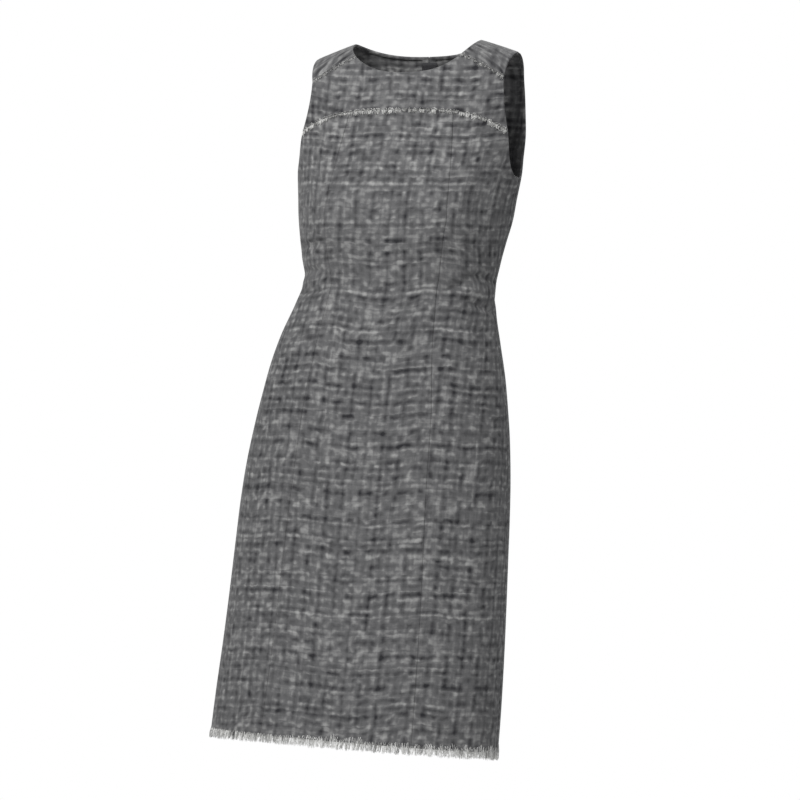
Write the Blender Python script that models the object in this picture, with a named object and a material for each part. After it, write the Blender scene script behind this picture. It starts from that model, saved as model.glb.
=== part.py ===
"""A sleeveless sheath dress in tweed, hollow, in the form it has when worn.

The cloth follows one curved surface that runs from the back hem over the
shoulders to the front hem.  The surface is a row of cross arcs, the stations
of the tables below.  Each cut piece is a wall on that surface between its own
seam lines.  +Z is up, the front faces -Y, and the origin is midway between
the two shoulders at the side of the neck, where the wearer carries the dress.
"""
import random

import bmesh
import bpy
import numpy as np
from mathutils import Matrix

MM = 0.001

# cloth
WALL = 2.0 * MM
SEAM_GAP = 0.36 * MM
SQUARENESS = 0.02          # how far a cross arc is squarer than an ellipse
SHOULDER_FALL = 1.4        # power of the fall from the neck to the arm
SHARP_ANGLE = 50           # edges of a wall turn by more than this (degrees)

# stations from the underarm down: height, half width, front and back depth,
# sideways shift and roll of the body's lean (mm, roll in degrees)
BODY = (
    # height, width, front, back, shift, roll
    (-185, 153.5, 107, 106, -12.0, 0.6),
    (-212, 150.0, 110, 105, -14.5, 1.0),
    (-240, 147.0, 110, 102, -17.0, 1.4),
    (-269, 141.5, 107, 97, -20.5, 1.8),
    (-296, 136.5, 102, 93, -23.0, 2.1),
    (-329, 131.5, 98, 90, -25.0, 2.5),
    (-364, 138.5, 99, 94, -31.0, 3.0),
    (-405, 151.0, 102, 103, -37.5, 3.5),
    (-446, 161.5, 105, 113, -42.0, 3.9),
    (-487, 169.0, 107, 121, -46.0, 4.2),
    (-528, 175.5, 109, 127, -50.0, 4.4),
    (-582, 182.0, 111, 129, -55.5, 4.5),
    (-636, 186.0, 112, 128, -60.5, 4.5),
    (-691, 188.5, 113, 126, -65.0, 4.5),
    (-759, 191.5, 114, 124, -70.5, 4.5),
    (-827, 194.5, 116, 122, -76.5, 4.5),
    (-895, 197.5, 117, 121, -83.5, 4.5),
    (-950, 199.0, 118, 120, -89.3, 4.5),
)
# stations from the shoulder ridge to just above the underarm: height at the
# middle and at the arm, half width, depth at the arm and at the middle
RIDGE = (20, -28, 165, 4, 4, 0.0, -1.6)
CHEST = (
    # mid height, arm height, width, arm depth, mid depth, shift, roll
    (12, -36, 165, -23, -33, 0.0, -1.5),
    (-4, -48, 164, -37, -53, -0.5, -1.3),
    (-30, -62, 162, -36, -65, -1.0, -1.1),
    (-60, -80, 160, -27, -74, -2.0, -0.8),
    (-93, -103, 158, -18, -83, -4.0, -0.4),
    (-128, -132, 158, -8, -94, -7.0, 0.0),
    (-158, -158, 156, 0, -102, -9.5, 0.3),
)
SHOULDER_BLADES = (
    # mid height, arm height, width, arm depth, mid depth, shift, roll
    (14, -34, 165, 26, 34, 0.0, -1.5),
    (-2, -46, 164, 45, 56, -0.5, -1.3),
    (-28, -62, 162, 44, 72, -1.0, -1.1),
    (-60, -80, 160, 33, 84, -2.0, -0.8),
    (-93, -103, 158, 20, 94, -4.0, -0.4),
    (-128, -132, 158, 8, 101, -7.0, 0.0),
    (-158, -158, 156, 0, 105, -9.5, 0.3),
)
# bust shaping: each side's place, reach across, up and down, and how far out
BUST_X = 84 * MM
BUST_HEIGHT = -232 * MM
BUST_ACROSS = 60 * MM
BUST_ABOVE = 60 * MM
BUST_BELOW = 74 * MM
BUST_OUT = 24 * MM

# neck edge
NECK_HALF_WIDTH = 87.6 * MM
FRONT_NECK_DEPTH = 42.6 * MM
BACK_NECK_DEPTH = 19.0 * MM
NECK_ROUNDNESS = 2.6
NECK_SOFTNESS = 0.8
SEAM_AT_NECK = 57.7        # turn of the neck edge where the shoulder seam meets it

# armhole, from the ridge down the front, under the arm and up the back:
# height (mm) and turn of the cross arc (degrees, 90 at the side)
ARMHOLE_FRONT = (
    # height, turn
    (-18, 55.1), (-35, 53.7), (-55, 53.6), (-80, 56.3), (-105, 60.5),
    (-125, 64.0), (-145, 67.0), (-162, 70.3), (-175, 75.2), (-183, 82.0),
)
UNDERARM = (-185, 90.0)
ARMHOLE_BACK = (
    # height, turn
    (-183, 82.3), (-175, 76.0), (-162, 71.3), (-145, 68.0), (-125, 65.2),
    (-105, 61.9), (-80, 57.4), (-55, 54.2), (-35, 53.8), (-18, 55.1),
)
SHOULDER_SEAM_AT_ARM = 1.8     # rows down ARMHOLE_FRONT
YOKE_SEAM_AT_ARM = 4.95

# yoke seam: height at the middle, drop and half width at the arm
YOKE_HEIGHT = -93 * MM
YOKE_DROP = 31 * MM
YOKE_HALF_WIDTH = 146 * MM
YOKE_CURVE = 3.5

# front panel seam: height and distance from the middle (mm)
PANEL_SEAM = (
    # height, distance
    (-97, 73), (-150, 79), (-200, 84), (-240, 86), (-290, 80), (-335, 74),
    (-400, 80), (-500, 90), (-650, 96), (-800, 101), (-950, 106),
)

# rows and columns of the walls
CENTRE_COLUMNS = 10
SIDE_COLUMNS = 8
BACK_COLUMNS = 12
YOKE_ROWS = 6
SEAM_COLUMNS = 5
CHEST_ROWS = 7
BLADE_ROWS = 8
NECK_ROWS = 6
OVER_ROWS = 3
FINE_STATIONS = 8          # stations below the underarm with a row halfway

# fringe: strip, strands and how unevenly they hang, as shares of their length
STRIP_GAP = 0.4 * MM
STRIP_THICK = 1.0 * MM
STRIP_ABOVE = 1.0 * MM
STRIP_BELOW = 2.0 * MM
STRIP_SHORT = 2.0 * MM         # left free at each end of a seam
HEM_STRIP_GAP = 1.1 * MM       # inside the wall
HEM_STRIP_ABOVE = 7.0 * MM
HEM_STRIP_BELOW = 2.5 * MM
STRAND_WIDTH = 2.2 * MM
STRAND_SHIFT = 0.12
STRAND_SHORTEST = 0.72
STRAND_SWAY = 0.22
STRAND_KICK = (-0.02, 0.10)
STRAND_TIP = 0.6
HEM_STRANDS = 120
YOKE_STRANDS = 46
SHOULDER_STRANDS = 12
HEM_FRINGE = 12.0 * MM
SEAM_FRINGE = 7.0 * MM
HEM_READINGS = 80
READINGS = 40              # per point, where a line is measured

# zip down the middle of the back
ZIP_TOP = -25 * MM
ZIP_END = -540 * MM
ZIP_HALF_WIDTH = 11 * MM
ZIP_THICK = 1.0 * MM
ZIP_GAP = 1.3 * MM
ZIP_ROWS = 24
ZIP_COLUMNS = 4

# pull tab, hung on its bar at the pivot: its length runs down from the pivot
PIVOT_HEIGHT = -34 * MM
PIVOT_OUT = 2.55 * MM
PULL_LENGTH = 22 * MM
PULL_HALF_WIDTH = 3.0 * MM
PULL_THICK = 0.9 * MM
PULL_RIM = 1.0 * MM
PULL_NECK = 1.5 * MM
PULL_TIP_STEPS = 10
EYE_HALF_WIDTH = 1.4 * MM
EYE_LENGTH = 5.5 * MM
EYE_BAR = 0.5 * MM

# slider, with its arch over the pull's bar: places along the zip and outward
ARCH_WIDTH = 1.6 * MM
ARCH_REACH = 2.6 * MM
ARCH_INSIDE = 1.5 * MM
ARCH_CLEAR = 1.05 * MM
ARCH_THICK = 1.0 * MM
ARCH_BEVEL = 0.5 * MM
ARCH_SILL = 0.02 * MM
SLIDER_HALF_WIDTH = 2.6 * MM
SLIDER_TOP = 4.5 * MM
SLIDER_BOTTOM = -5.0 * MM
SLIDER_THICK = 1.2 * MM
SLIDER_LIFT = 0.45 * MM        # its underside over the cloth
PLATE_SHORTER = 0.5 * MM
PLATE_THINNER = 0.05 * MM

# finishes: colour, roughness and metallic value
TWEED = ((0.155, 0.158, 0.168, 1.0), 0.92, 0.0)
YARN_ENDS = ((0.60, 0.58, 0.54, 1.0), 0.95, 0.0)
ZIP_CLOTH = ((0.05, 0.05, 0.055, 1.0), 0.80, 0.0)
DARK_METAL = ((0.20, 0.20, 0.21, 1.0), 0.40, 1.0)

# small numbers for the sums
SLOPE_STEP = 1e-3
HALVINGS = 45
ROOT_STEPS = 8
WELD = 1e-6

random.seed(7)


# ---------------------------------------------------------------- surface

def station_table():
    """All stations in order, back hem to ridge to front hem, in metres."""
    back = [(h, h, w, 0, b, s, r) for h, w, f, b, s, r in reversed(BODY)]
    blades = list(reversed(SHOULDER_BLADES))
    front = [(h, h, w, 0, -f, s, r) for h, w, f, b, s, r in BODY]
    rows = np.array(back + blades + [RIDGE] + list(CHEST) + front, float)
    rows[:, :6] *= MM
    rows[:, 6] = np.radians(rows[:, 6])
    return rows


STATIONS = station_table()
HEM = len(BODY) + len(CHEST)           # station number of the front hem
UNDERARM_STATION = len(CHEST) + 1


def smooth_rows(rows, place):
    """Rows of a table read at fractional places, on a smooth curve."""
    place = np.asarray(place, float)
    last = len(rows) - 1
    first = np.clip(np.floor(place).astype(int), 0, last - 1)
    t = (place - first)[..., None]
    p1 = rows[first]
    p2 = rows[first + 1]
    p0 = np.where((first > 0)[..., None], rows[np.maximum(first - 1, 0)], 2 * p1 - p2)
    p3 = np.where((first + 2 <= last)[..., None],
                  rows[np.minimum(first + 2, last)], 2 * p2 - p1)
    m1 = (p2 - p0) / 2
    m2 = (p3 - p1) / 2
    return ((2 * t**3 - 3 * t**2 + 1) * p1 + (t**3 - 2 * t**2 + t) * m1
            + (3 * t**2 - 2 * t**3) * p2 + (t**3 - t**2) * m2)


def station(number):
    """Station values at a number from -HEM (back hem) to HEM (front hem)."""
    return smooth_rows(STATIONS, np.asarray(number, float) + HEM)


def across(turn):
    """Share of the half width at a turn of the cross arc."""
    return (np.sin(turn) + SQUARENESS * np.sin(3 * turn)) / (1 - SQUARENESS)


def surface(turn, number):
    """Points of the dress's outer surface."""
    mid, side, width, arm, depth, shift, roll = np.moveaxis(station(number), -1, 0)
    share = across(turn)
    x = width * share
    inward = (np.cos(turn) - SQUARENESS * np.cos(3 * turn)) / (1 - SQUARENESS)
    y = arm - (arm - depth) * inward
    z = mid + (side - mid) * np.abs(share) ** SHOULDER_FALL
    reach = np.where(z > BUST_HEIGHT, BUST_ABOVE, BUST_BELOW)
    upright = np.exp(-((z - BUST_HEIGHT) / reach) ** 2)
    sides = (np.exp(-((x - BUST_X) / BUST_ACROSS) ** 2)
             + np.exp(-((x + BUST_X) / BUST_ACROSS) ** 2))
    y = y - np.where(number > 0, BUST_OUT * upright * sides * (1 - share**4), 0.0)
    return np.stack([shift + x * np.cos(roll), y, z - x * np.sin(roll)], -1)


def slopes(turn, number):
    """Directions on the surface: across, along and straight out."""
    over = surface(turn + SLOPE_STEP, number) - surface(turn - SLOPE_STEP, number)
    down = surface(turn, number + SLOPE_STEP) - surface(turn, number - SLOPE_STEP)
    out = np.cross(down, over)
    return unit(over), unit(down), unit(out)


def unit(vectors):
    return vectors / np.linalg.norm(vectors, axis=-1, keepdims=True)


def number_at(height, back=False, turn=None, x=None):
    """Station number where the surface reaches a height, for a turn or an x."""
    height = np.asarray(height, float)
    low = np.zeros(height.shape)
    high = np.full(height.shape, float(HEM))
    for _ in range(HALVINGS):
        middle = (low + high) / 2
        rows = station(-middle if back else middle)
        share = across(turn) if x is None else x / rows[..., 2]
        z = rows[..., 0] + (rows[..., 1] - rows[..., 0]) * np.abs(share) ** SHOULDER_FALL
        low = np.where(z > height, middle, low)
        high = np.where(z > height, high, middle)
    return -low if back else low


def turn_at(x, number):
    """Turn of the cross arc at a distance x from the middle."""
    goal = np.asarray(x, float) / station(number)[..., 2] * (1 - SQUARENESS)
    sine = goal.copy()
    for _ in range(ROOT_STEPS):
        error = sine * (1 + 3 * SQUARENESS) - 4 * SQUARENESS * sine**3 - goal
        sine = sine - error / (1 + 3 * SQUARENESS - 12 * SQUARENESS * sine**2)
    return np.arcsin(np.clip(sine, -1, 1))


# ---------------------------------------------------------------- seam lines
# A line is an array of (turn, station number).  Lines are worked out for the
# wearer's left, at +X, and mirrored for the right.

def spread(start, end, count):
    return np.linspace(start, end, count + 1)


def straight(start, end, count):
    share = spread(0, 1, count)[:, None]
    return np.asarray(start) * (1 - share) + np.asarray(end) * share


def mirrored(line):
    return line * np.array([-1.0, 1.0])


def armhole_line(places):
    """Armhole from the front ridge (0) under the arm and up the back."""
    rows = np.array(ARMHOLE_FRONT + (UNDERARM,)
                    + tuple((h, 180 - t) for h, t in ARMHOLE_BACK), float)
    height, degrees = np.moveaxis(smooth_rows(rows, places), -1, 0)
    back = degrees > 90
    turn = np.radians(np.where(back, 180 - degrees, degrees))
    front_numbers = number_at(height * MM, turn=turn)
    back_numbers = number_at(height * MM, back=True, turn=turn)
    numbers = np.where(back, back_numbers, front_numbers)
    ridge = np.isin(places, (0, len(rows) - 1))
    return np.stack([turn, np.where(ridge, 0.0, numbers)], -1)


ARMHOLE_UNDER = float(len(ARMHOLE_FRONT))
ARMHOLE_END = float(len(ARMHOLE_FRONT) + len(ARMHOLE_BACK))
NECK_AT_ARMHOLE = ARMHOLE_UNDER + 7.0      # level with the middle of the back neck


def neck_line(degrees, back=False):
    """Neck edge: 0 degrees at the middle to 90 on the ridge."""
    degrees = np.asarray(degrees, float)
    share = np.sin(np.radians(degrees))
    x = NECK_HALF_WIDTH * share
    depth = BACK_NECK_DEPTH if back else FRONT_NECK_DEPTH
    at_ridge = (RIDGE[0] + (RIDGE[1] - RIDGE[0])
                * (NECK_HALF_WIDTH / (RIDGE[2] * MM)) ** SHOULDER_FALL) * MM
    fall = np.maximum(1 - np.abs(share) ** NECK_ROUNDNESS, 0) ** NECK_SOFTNESS
    numbers = number_at(at_ridge - depth * fall, back=back, x=x)
    numbers = np.where(degrees == 90, 0.0, numbers)
    return np.stack([turn_at(x, numbers), numbers], -1)


def yoke_line(x):
    """Yoke seam across the chest."""
    height = YOKE_HEIGHT - YOKE_DROP * np.abs(x / YOKE_HALF_WIDTH) ** YOKE_CURVE
    numbers = number_at(height, x=x)
    return np.stack([turn_at(x, numbers), numbers], -1)


def panel_line(numbers):
    """Front panel seam at the given station numbers."""
    heights, distances = np.array(PANEL_SEAM, float).T * MM
    z = station(numbers)[..., 0]
    x = np.interp(-z, -heights, distances)
    return np.stack([turn_at(x, numbers), numbers], -1)


LOWER_NUMBERS = np.concatenate([
    np.arange(UNDERARM_STATION, UNDERARM_STATION + FINE_STATIONS, 0.5),
    np.arange(UNDERARM_STATION + FINE_STATIONS, HEM + 1.0),
])
SHOULDER_SEAM = straight(
    neck_line([SEAM_AT_NECK])[0], armhole_line(np.array([SHOULDER_SEAM_AT_ARM]))[0], 1)
YOKE_END = armhole_line(np.array([YOKE_SEAM_AT_ARM]))[0]


def yoke_seam_points():
    """Yoke seam points shared by the yoke and the three panels below it."""
    corner = PANEL_SEAM[0][1] * MM
    end_x = float(station(YOKE_END[1])[2] * across(YOKE_END[0]))
    centre_line = yoke_line(spread(0, corner, CENTRE_COLUMNS // 2))
    side_line = yoke_line(spread(corner, end_x, SIDE_COLUMNS))
    side_line[-1] = YOKE_END
    return centre_line, side_line


def yoke_edge():
    """The whole yoke seam, from the wearer's right armhole to the left."""
    centre, side = yoke_seam_points()
    half = np.concatenate([side[::-1], centre[-2::-1]])
    return np.concatenate([mirrored(half), half[-2::-1]])


# ---------------------------------------------------------------- meshes

def grid_between(top, bottom, left, right):
    """Rows by columns of (turn, number) filled between four edge lines."""
    rows = spread(0, 1, len(left) - 1)[:, None, None]
    columns = spread(0, 1, len(top) - 1)[None, :, None]
    ruled = (1 - rows) * top[None] + rows * bottom[None]
    beside = (1 - columns) * left[:, None] + columns * right[:, None]
    corners = ((1 - rows) * (1 - columns) * top[0] + (1 - rows) * columns * top[-1]
               + rows * (1 - columns) * bottom[0] + rows * columns * bottom[-1])
    return ruled + beside - corners


def pull_back(points, edges):
    """Move the seam edges of a grid in by half the seam gap."""
    gap = SEAM_GAP / 2
    moved = points.copy()
    if "first row" in edges:
        moved[0] += gap * unit(points[1] - points[0])
    if "last row" in edges:
        moved[-1] += gap * unit(points[-2] - points[-1])
    if "first column" in edges:
        moved[:, 0] += gap * unit(points[:, 1] - points[:, 0])
    if "last column" in edges:
        moved[:, -1] += gap * unit(points[:, -2] - points[:, -1])
    return moved


def new_object(name, mesh, finish):
    colour, roughness, metallic = finish
    material = bpy.data.materials.new(name + "_finish")
    material.use_nodes = True
    shader = material.node_tree.nodes["Principled BSDF"]
    shader.inputs["Base Color"].default_value = colour
    shader.inputs["Roughness"].default_value = roughness
    shader.inputs["Metallic"].default_value = metallic
    mesh.materials.append(material)
    thing = bpy.data.objects.new(name, mesh)
    PARTS.objects.link(thing)
    thing.parent = CARRIER
    return thing


def wall_mesh(name, outer, inner):
    """A closed wall between two grids of points."""
    shape = bmesh.new()
    rows, columns = outer.shape[:2]
    layers = []
    for points in (outer, inner):
        layers.append([[shape.verts.new(p) for p in row] for row in points])
    out, within = layers
    for r in range(rows - 1):
        for c in range(columns - 1):
            d = c + 1
            shape.faces.new((out[r][c], out[r + 1][c], out[r + 1][d], out[r][d]))
            shape.faces.new((within[r][d], within[r + 1][d], within[r + 1][c], within[r][c]))
    for c in range(columns - 1):
        d = c + 1
        shape.faces.new((out[0][d], within[0][d], within[0][c], out[0][c]))
        shape.faces.new((out[-1][c], within[-1][c], within[-1][d], out[-1][d]))
    for r in range(rows - 1):
        shape.faces.new((out[r][0], within[r][0], within[r + 1][0], out[r + 1][0]))
        shape.faces.new((out[r + 1][-1], within[r + 1][-1], within[r][-1], out[r][-1]))
    bmesh.ops.recalc_face_normals(shape, faces=shape.faces)
    mesh = bpy.data.meshes.new(name)
    shape.to_mesh(mesh)
    shape.free()
    mesh.shade_smooth()
    mesh.set_sharp_from_angle(angle=np.radians(SHARP_ANGLE))
    return mesh


def cloth_panel(name, grid, seams):
    """One cut piece of cloth: a wall under the outer surface.

    seams pairs the seam edges with the rows that they run along.
    """
    turn, number = grid[..., 0], grid[..., 1]
    outer = surface(turn, number)
    for edges, rows in seams:
        outer[rows] = pull_back(outer[rows], edges)
    inner = outer - WALL * slopes(turn, number)[2]
    new_object(name, wall_mesh(name, outer, inner), TWEED)


# ---------------------------------------------------------------- cut pieces

ALL_ROWS = slice(None)


def front_yoke():
    bottom = yoke_edge()
    seam = straight(SHOULDER_SEAM[1], SHOULDER_SEAM[0], SEAM_COLUMNS)
    neck = neck_line(spread(SEAM_AT_NECK, 0, len(bottom) // 2 - SEAM_COLUMNS))
    half_top = np.concatenate([seam, neck[1:]])
    top = np.concatenate([mirrored(half_top), half_top[-2::-1]])
    arm = armhole_line(spread(SHOULDER_SEAM_AT_ARM, YOKE_SEAM_AT_ARM, YOKE_ROWS))
    grid = grid_between(top, bottom, mirrored(arm), arm)
    cloth_panel("front_yoke", grid, [(("first row", "last row"), ALL_ROWS)])


def panel_seam_rows():
    start = yoke_seam_points()[1][0]
    upper = spread(start[1], UNDERARM_STATION, CHEST_ROWS)[:-1]
    line = panel_line(np.concatenate([upper, LOWER_NUMBERS]))
    line[0] = start
    return line


def front_centre():
    half = yoke_seam_points()[0]
    top = np.concatenate([mirrored(half[::-1]), half[1:]])
    right = panel_seam_rows()
    bottom = straight(mirrored(right[-1]), right[-1], CENTRE_COLUMNS)
    grid = grid_between(top, bottom, mirrored(right), right)
    cloth_panel("front_centre", grid, [
        (("first row", "first column", "last column"), ALL_ROWS)])


def side_rows():
    return np.stack([np.full(len(LOWER_NUMBERS), np.pi / 2), LOWER_NUMBERS], -1)


def front_side(name, mirror):
    top = yoke_seam_points()[1]
    inner = panel_seam_rows()
    places = spread(YOKE_SEAM_AT_ARM, ARMHOLE_UNDER, CHEST_ROWS)[:-1]
    outer = np.concatenate([armhole_line(places), side_rows()])
    bottom = straight(inner[-1], outer[-1], SIDE_COLUMNS)
    grid = grid_between(top, bottom, inner, outer)
    cloth_panel(name, mirrored(grid) if mirror else grid, [
        (("first row", "first column"), ALL_ROWS),
        (("last column",), slice(len(places), None))])


def back_panel(name, mirror):
    """A back panel, from the hem up over the shoulder to the shoulder seam."""
    lower = LOWER_NUMBERS[::-1]
    neck_middle = float(neck_line([0.0], back=True)[0][1])
    blade = spread(-UNDERARM_STATION, neck_middle, BLADE_ROWS)[1:]
    middle = np.stack([np.zeros(len(lower) + len(blade)), np.concatenate([-lower, blade])], -1)
    neck = neck_line(spread(0, 90, NECK_ROWS)[1:], back=True)
    over = neck_line(spread(90, SEAM_AT_NECK, OVER_ROWS)[1:])
    left = np.concatenate([middle, neck, over])
    side = side_rows()[::-1] * np.array([1.0, -1.0])
    arm_places = np.concatenate([
        spread(ARMHOLE_UNDER, NECK_AT_ARMHOLE, BLADE_ROWS)[1:],
        spread(NECK_AT_ARMHOLE, ARMHOLE_END, NECK_ROWS)[1:]])
    arm_over = spread(0, SHOULDER_SEAM_AT_ARM, OVER_ROWS)[1:]
    right = np.concatenate([side, armhole_line(arm_places), armhole_line(arm_over)])
    hem = straight(left[0], right[0], BACK_COLUMNS)
    seam = straight(left[-1], right[-1], BACK_COLUMNS)
    grid = grid_between(hem, seam, left, right)
    cloth_panel(name, mirrored(grid) if mirror else grid, [
        (("last row",), ALL_ROWS),
        (("first column",), slice(len(middle))),
        (("last column",), slice(len(side)))])


# ---------------------------------------------------------------- fringe

def strand_ends(count, length):
    """Shares of a line's length where each of its strands starts and ends."""
    pitch = length / count
    ends = []
    for i in range(count):
        middle = (i + 0.5 + random.uniform(-STRAND_SHIFT, STRAND_SHIFT)) * pitch
        ends.append((middle - STRAND_WIDTH / 2) / length)
        ends.append((middle + STRAND_WIDTH / 2) / length)
    return ends


def fringe(name, frame, upper, lower, reach, closed=False):
    """A narrow strip with strands hanging from every other face of its edge.

    frame holds the points of the strip's cuts and the directions along, down
    and out there.  upper and lower are the strip's edges, and reach is the
    strands' length below it.  A closed strip joins its ends.
    """
    points, along, down, out = frame
    shape = bmesh.new()
    count = len(points)
    rings = []
    for offset in (0.0, STRIP_THICK):
        for height in (upper, lower):
            rings.append([shape.verts.new(p) for p in points + out * offset + down * height])
    near_top, near_low, far_top, far_low = rings
    last = count if closed else count - 1
    first_strand = 0 if closed else 1
    for i in range(last):
        j = (i + 1) % count
        shape.faces.new((near_top[i], near_top[j], near_low[j], near_low[i]))
        shape.faces.new((far_top[j], far_top[i], far_low[i], far_low[j]))
        shape.faces.new((near_top[j], near_top[i], far_top[i], far_top[j]))
        under = (near_low[i], near_low[j], far_low[j], far_low[i])
        if (i - first_strand) % 2:
            shape.faces.new(under)
            continue
        fall = reach * random.uniform(STRAND_SHORTEST, 1.0)
        sway = reach * random.uniform(-STRAND_SWAY, STRAND_SWAY)
        kick = reach * random.uniform(*STRAND_KICK)
        shift = down[i] * fall + along[i] * sway + out[i] * kick
        middle = sum((np.array(v.co) for v in under), np.zeros(3)) / 4
        tips = []
        for vertex in under:
            narrowed = middle + (np.array(vertex.co) - middle) * STRAND_TIP
            tips.append(shape.verts.new(narrowed + shift))
        for a in range(4):
            b = (a + 1) % 4
            shape.faces.new((under[a], under[b], tips[b], tips[a]))
        shape.faces.new(tips)
    if not closed:
        shape.faces.new((near_top[0], near_low[0], far_low[0], far_top[0]))
        shape.faces.new((near_top[-1], far_top[-1], far_low[-1], near_low[-1]))
    bmesh.ops.recalc_face_normals(shape, faces=shape.faces)
    mesh = bpy.data.meshes.new(name)
    shape.to_mesh(mesh)
    shape.free()
    new_object(name, mesh, YARN_ENDS)


def along_line(line, shares):
    """Points of a line of (turn, number) at shares of its real length."""
    dense = np.linspace(0, len(line) - 1, READINGS * len(line))
    fine = np.stack([np.interp(dense, np.arange(len(line)), line[:, k]) for k in (0, 1)], -1)
    steps = np.linalg.norm(np.diff(surface(fine[:, 0], fine[:, 1]), axis=0), axis=1)
    length = np.concatenate([[0.0], np.cumsum(steps)])
    goal = np.asarray(shares) * length[-1]
    read = np.stack([np.interp(goal, length, fine[:, k]) for k in (0, 1)], -1)
    return read, length[-1]


def seam_fringe(name, seam, strands):
    """Frayed edge that lies on the cloth along a seam."""
    length = along_line(seam, [1.0])[1]
    short = STRIP_SHORT / length
    shares = np.array([0.0] + strand_ends(strands, length) + [1.0])
    line = along_line(seam, short + shares * (1 - 2 * short))[0]
    turn, number = line[:, 0], line[:, 1]
    out = slopes(turn, number)[2]
    points = surface(turn, number) + out * STRIP_GAP
    along = unit(np.gradient(points, axis=0))
    down = unit(np.cross(along, out))
    if down[len(down) // 2][2] > 0:
        down = -down
    fringe(name, (points, along, down, out), -STRIP_ABOVE, STRIP_BELOW,
           SEAM_FRINGE - STRIP_BELOW)


def hem_fringe():
    """A ring just inside the hem, along the front and back round the back."""
    quarter = spread(-np.pi / 2, np.pi / 2, HEM_READINGS)
    front = np.stack([quarter, np.full(len(quarter), float(HEM))], -1)
    back = np.stack([quarter[::-1], np.full(len(quarter), -float(HEM))], -1)
    front_length = along_line(front, [1.0])[1]
    back_length = along_line(back, [1.0])[1]
    total = front_length + back_length
    cuts = np.array(strand_ends(HEM_STRANDS, total)) * total
    in_front = cuts < front_length
    line = np.concatenate([
        along_line(front, cuts[in_front] / front_length)[0],
        along_line(back, (cuts[~in_front] - front_length) / back_length)[0]])
    turn, number = line[:, 0], line[:, 1]
    over, down, out = slopes(turn, number)
    facing = np.where(number < 0, -1.0, 1.0)[:, None]
    points = surface(turn, number) - out * (WALL + HEM_STRIP_GAP + STRIP_THICK)
    fringe("fringe_hem", (points, over * facing, down * facing, out), -HEM_STRIP_ABOVE,
           HEM_STRIP_BELOW, HEM_FRINGE - HEM_STRIP_BELOW, closed=True)


# ---------------------------------------------------------------- zip

def zip_tape():
    top, end = number_at(np.array([ZIP_TOP, ZIP_END]), back=True, x=0.0)
    number = np.repeat(spread(top, end, ZIP_ROWS)[:, None], ZIP_COLUMNS + 1, axis=1)
    across_tape = spread(-ZIP_HALF_WIDTH, ZIP_HALF_WIDTH, ZIP_COLUMNS)
    turn = turn_at(np.broadcast_to(across_tape, number.shape), number)
    out = slopes(turn, number)[2]
    outer = surface(turn, number) - out * (WALL + ZIP_GAP)
    new_object("zip_tape", wall_mesh("zip_tape", outer, outer - out * ZIP_THICK), ZIP_CLOTH)


def pivot_frame():
    """Frame of the zip's pull: X across, Y up along the cloth, Z straight out."""
    number = number_at(np.array(PIVOT_HEIGHT), back=True, x=0.0)
    over, up, out = slopes(np.array(0.0), number)
    place = surface(np.array(0.0), number) + out * PIVOT_OUT
    frame = Matrix.Identity(4)
    for row in range(3):
        frame[row][0] = over[row]
        frame[row][1] = up[row]
        frame[row][2] = out[row]
        frame[row][3] = place[row]
    return frame


def flat_solid(name, outlines, half_thick):
    """A flat outline with holes as a solid, lying in its XY plane."""
    curve = bpy.data.curves.new(name, "CURVE")
    curve.dimensions = "2D"
    curve.fill_mode = "BOTH"
    curve.extrude = half_thick
    for outline in outlines:
        spline = curve.splines.new("POLY")
        spline.points.add(len(outline) - 1)
        for point, (x, y) in zip(spline.points, outline):
            point.co = (x, y, 0, 1)
        spline.use_cyclic_u = True
    drawn = bpy.data.objects.new(name, curve)
    PARTS.objects.link(drawn)
    bpy.context.view_layer.update()
    mesh = bpy.data.meshes.new_from_object(drawn.evaluated_get(
        bpy.context.evaluated_depsgraph_get()))
    bpy.data.objects.remove(drawn)
    shape = bmesh.new()
    shape.from_mesh(mesh)
    bmesh.ops.remove_doubles(shape, verts=shape.verts, dist=WELD)
    bmesh.ops.recalc_face_normals(shape, faces=shape.faces)
    shape.to_mesh(mesh)
    shape.free()
    return mesh


def arc_points(centre, radius, start, end, count):
    angles = np.radians(spread(start, end, count))
    return [(centre[0] + radius * np.cos(a), centre[1] + radius * np.sin(a)) for a in angles]


def zip_pull(frame):
    """Pull tab with a rectangular eye at its top and a round tip."""
    narrow = EYE_HALF_WIDTH + PULL_RIM
    neck = -EYE_LENGTH - PULL_NECK
    tip = (0.0, -PULL_LENGTH + PULL_HALF_WIDTH)
    outline = [(narrow, EYE_BAR), (-narrow, EYE_BAR), (-narrow, neck)]
    outline += arc_points(tip, PULL_HALF_WIDTH, 180, 360, PULL_TIP_STEPS)
    outline += [(narrow, neck)]
    eye = [(EYE_HALF_WIDTH, -EYE_BAR), (-EYE_HALF_WIDTH, -EYE_BAR),
           (-EYE_HALF_WIDTH, -EYE_LENGTH), (EYE_HALF_WIDTH, -EYE_LENGTH)]
    mesh = flat_solid("zip_pull", (outline, eye), PULL_THICK / 2)
    pull = new_object("zip_pull", mesh, DARK_METAL)
    pull.matrix_world = frame


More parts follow.
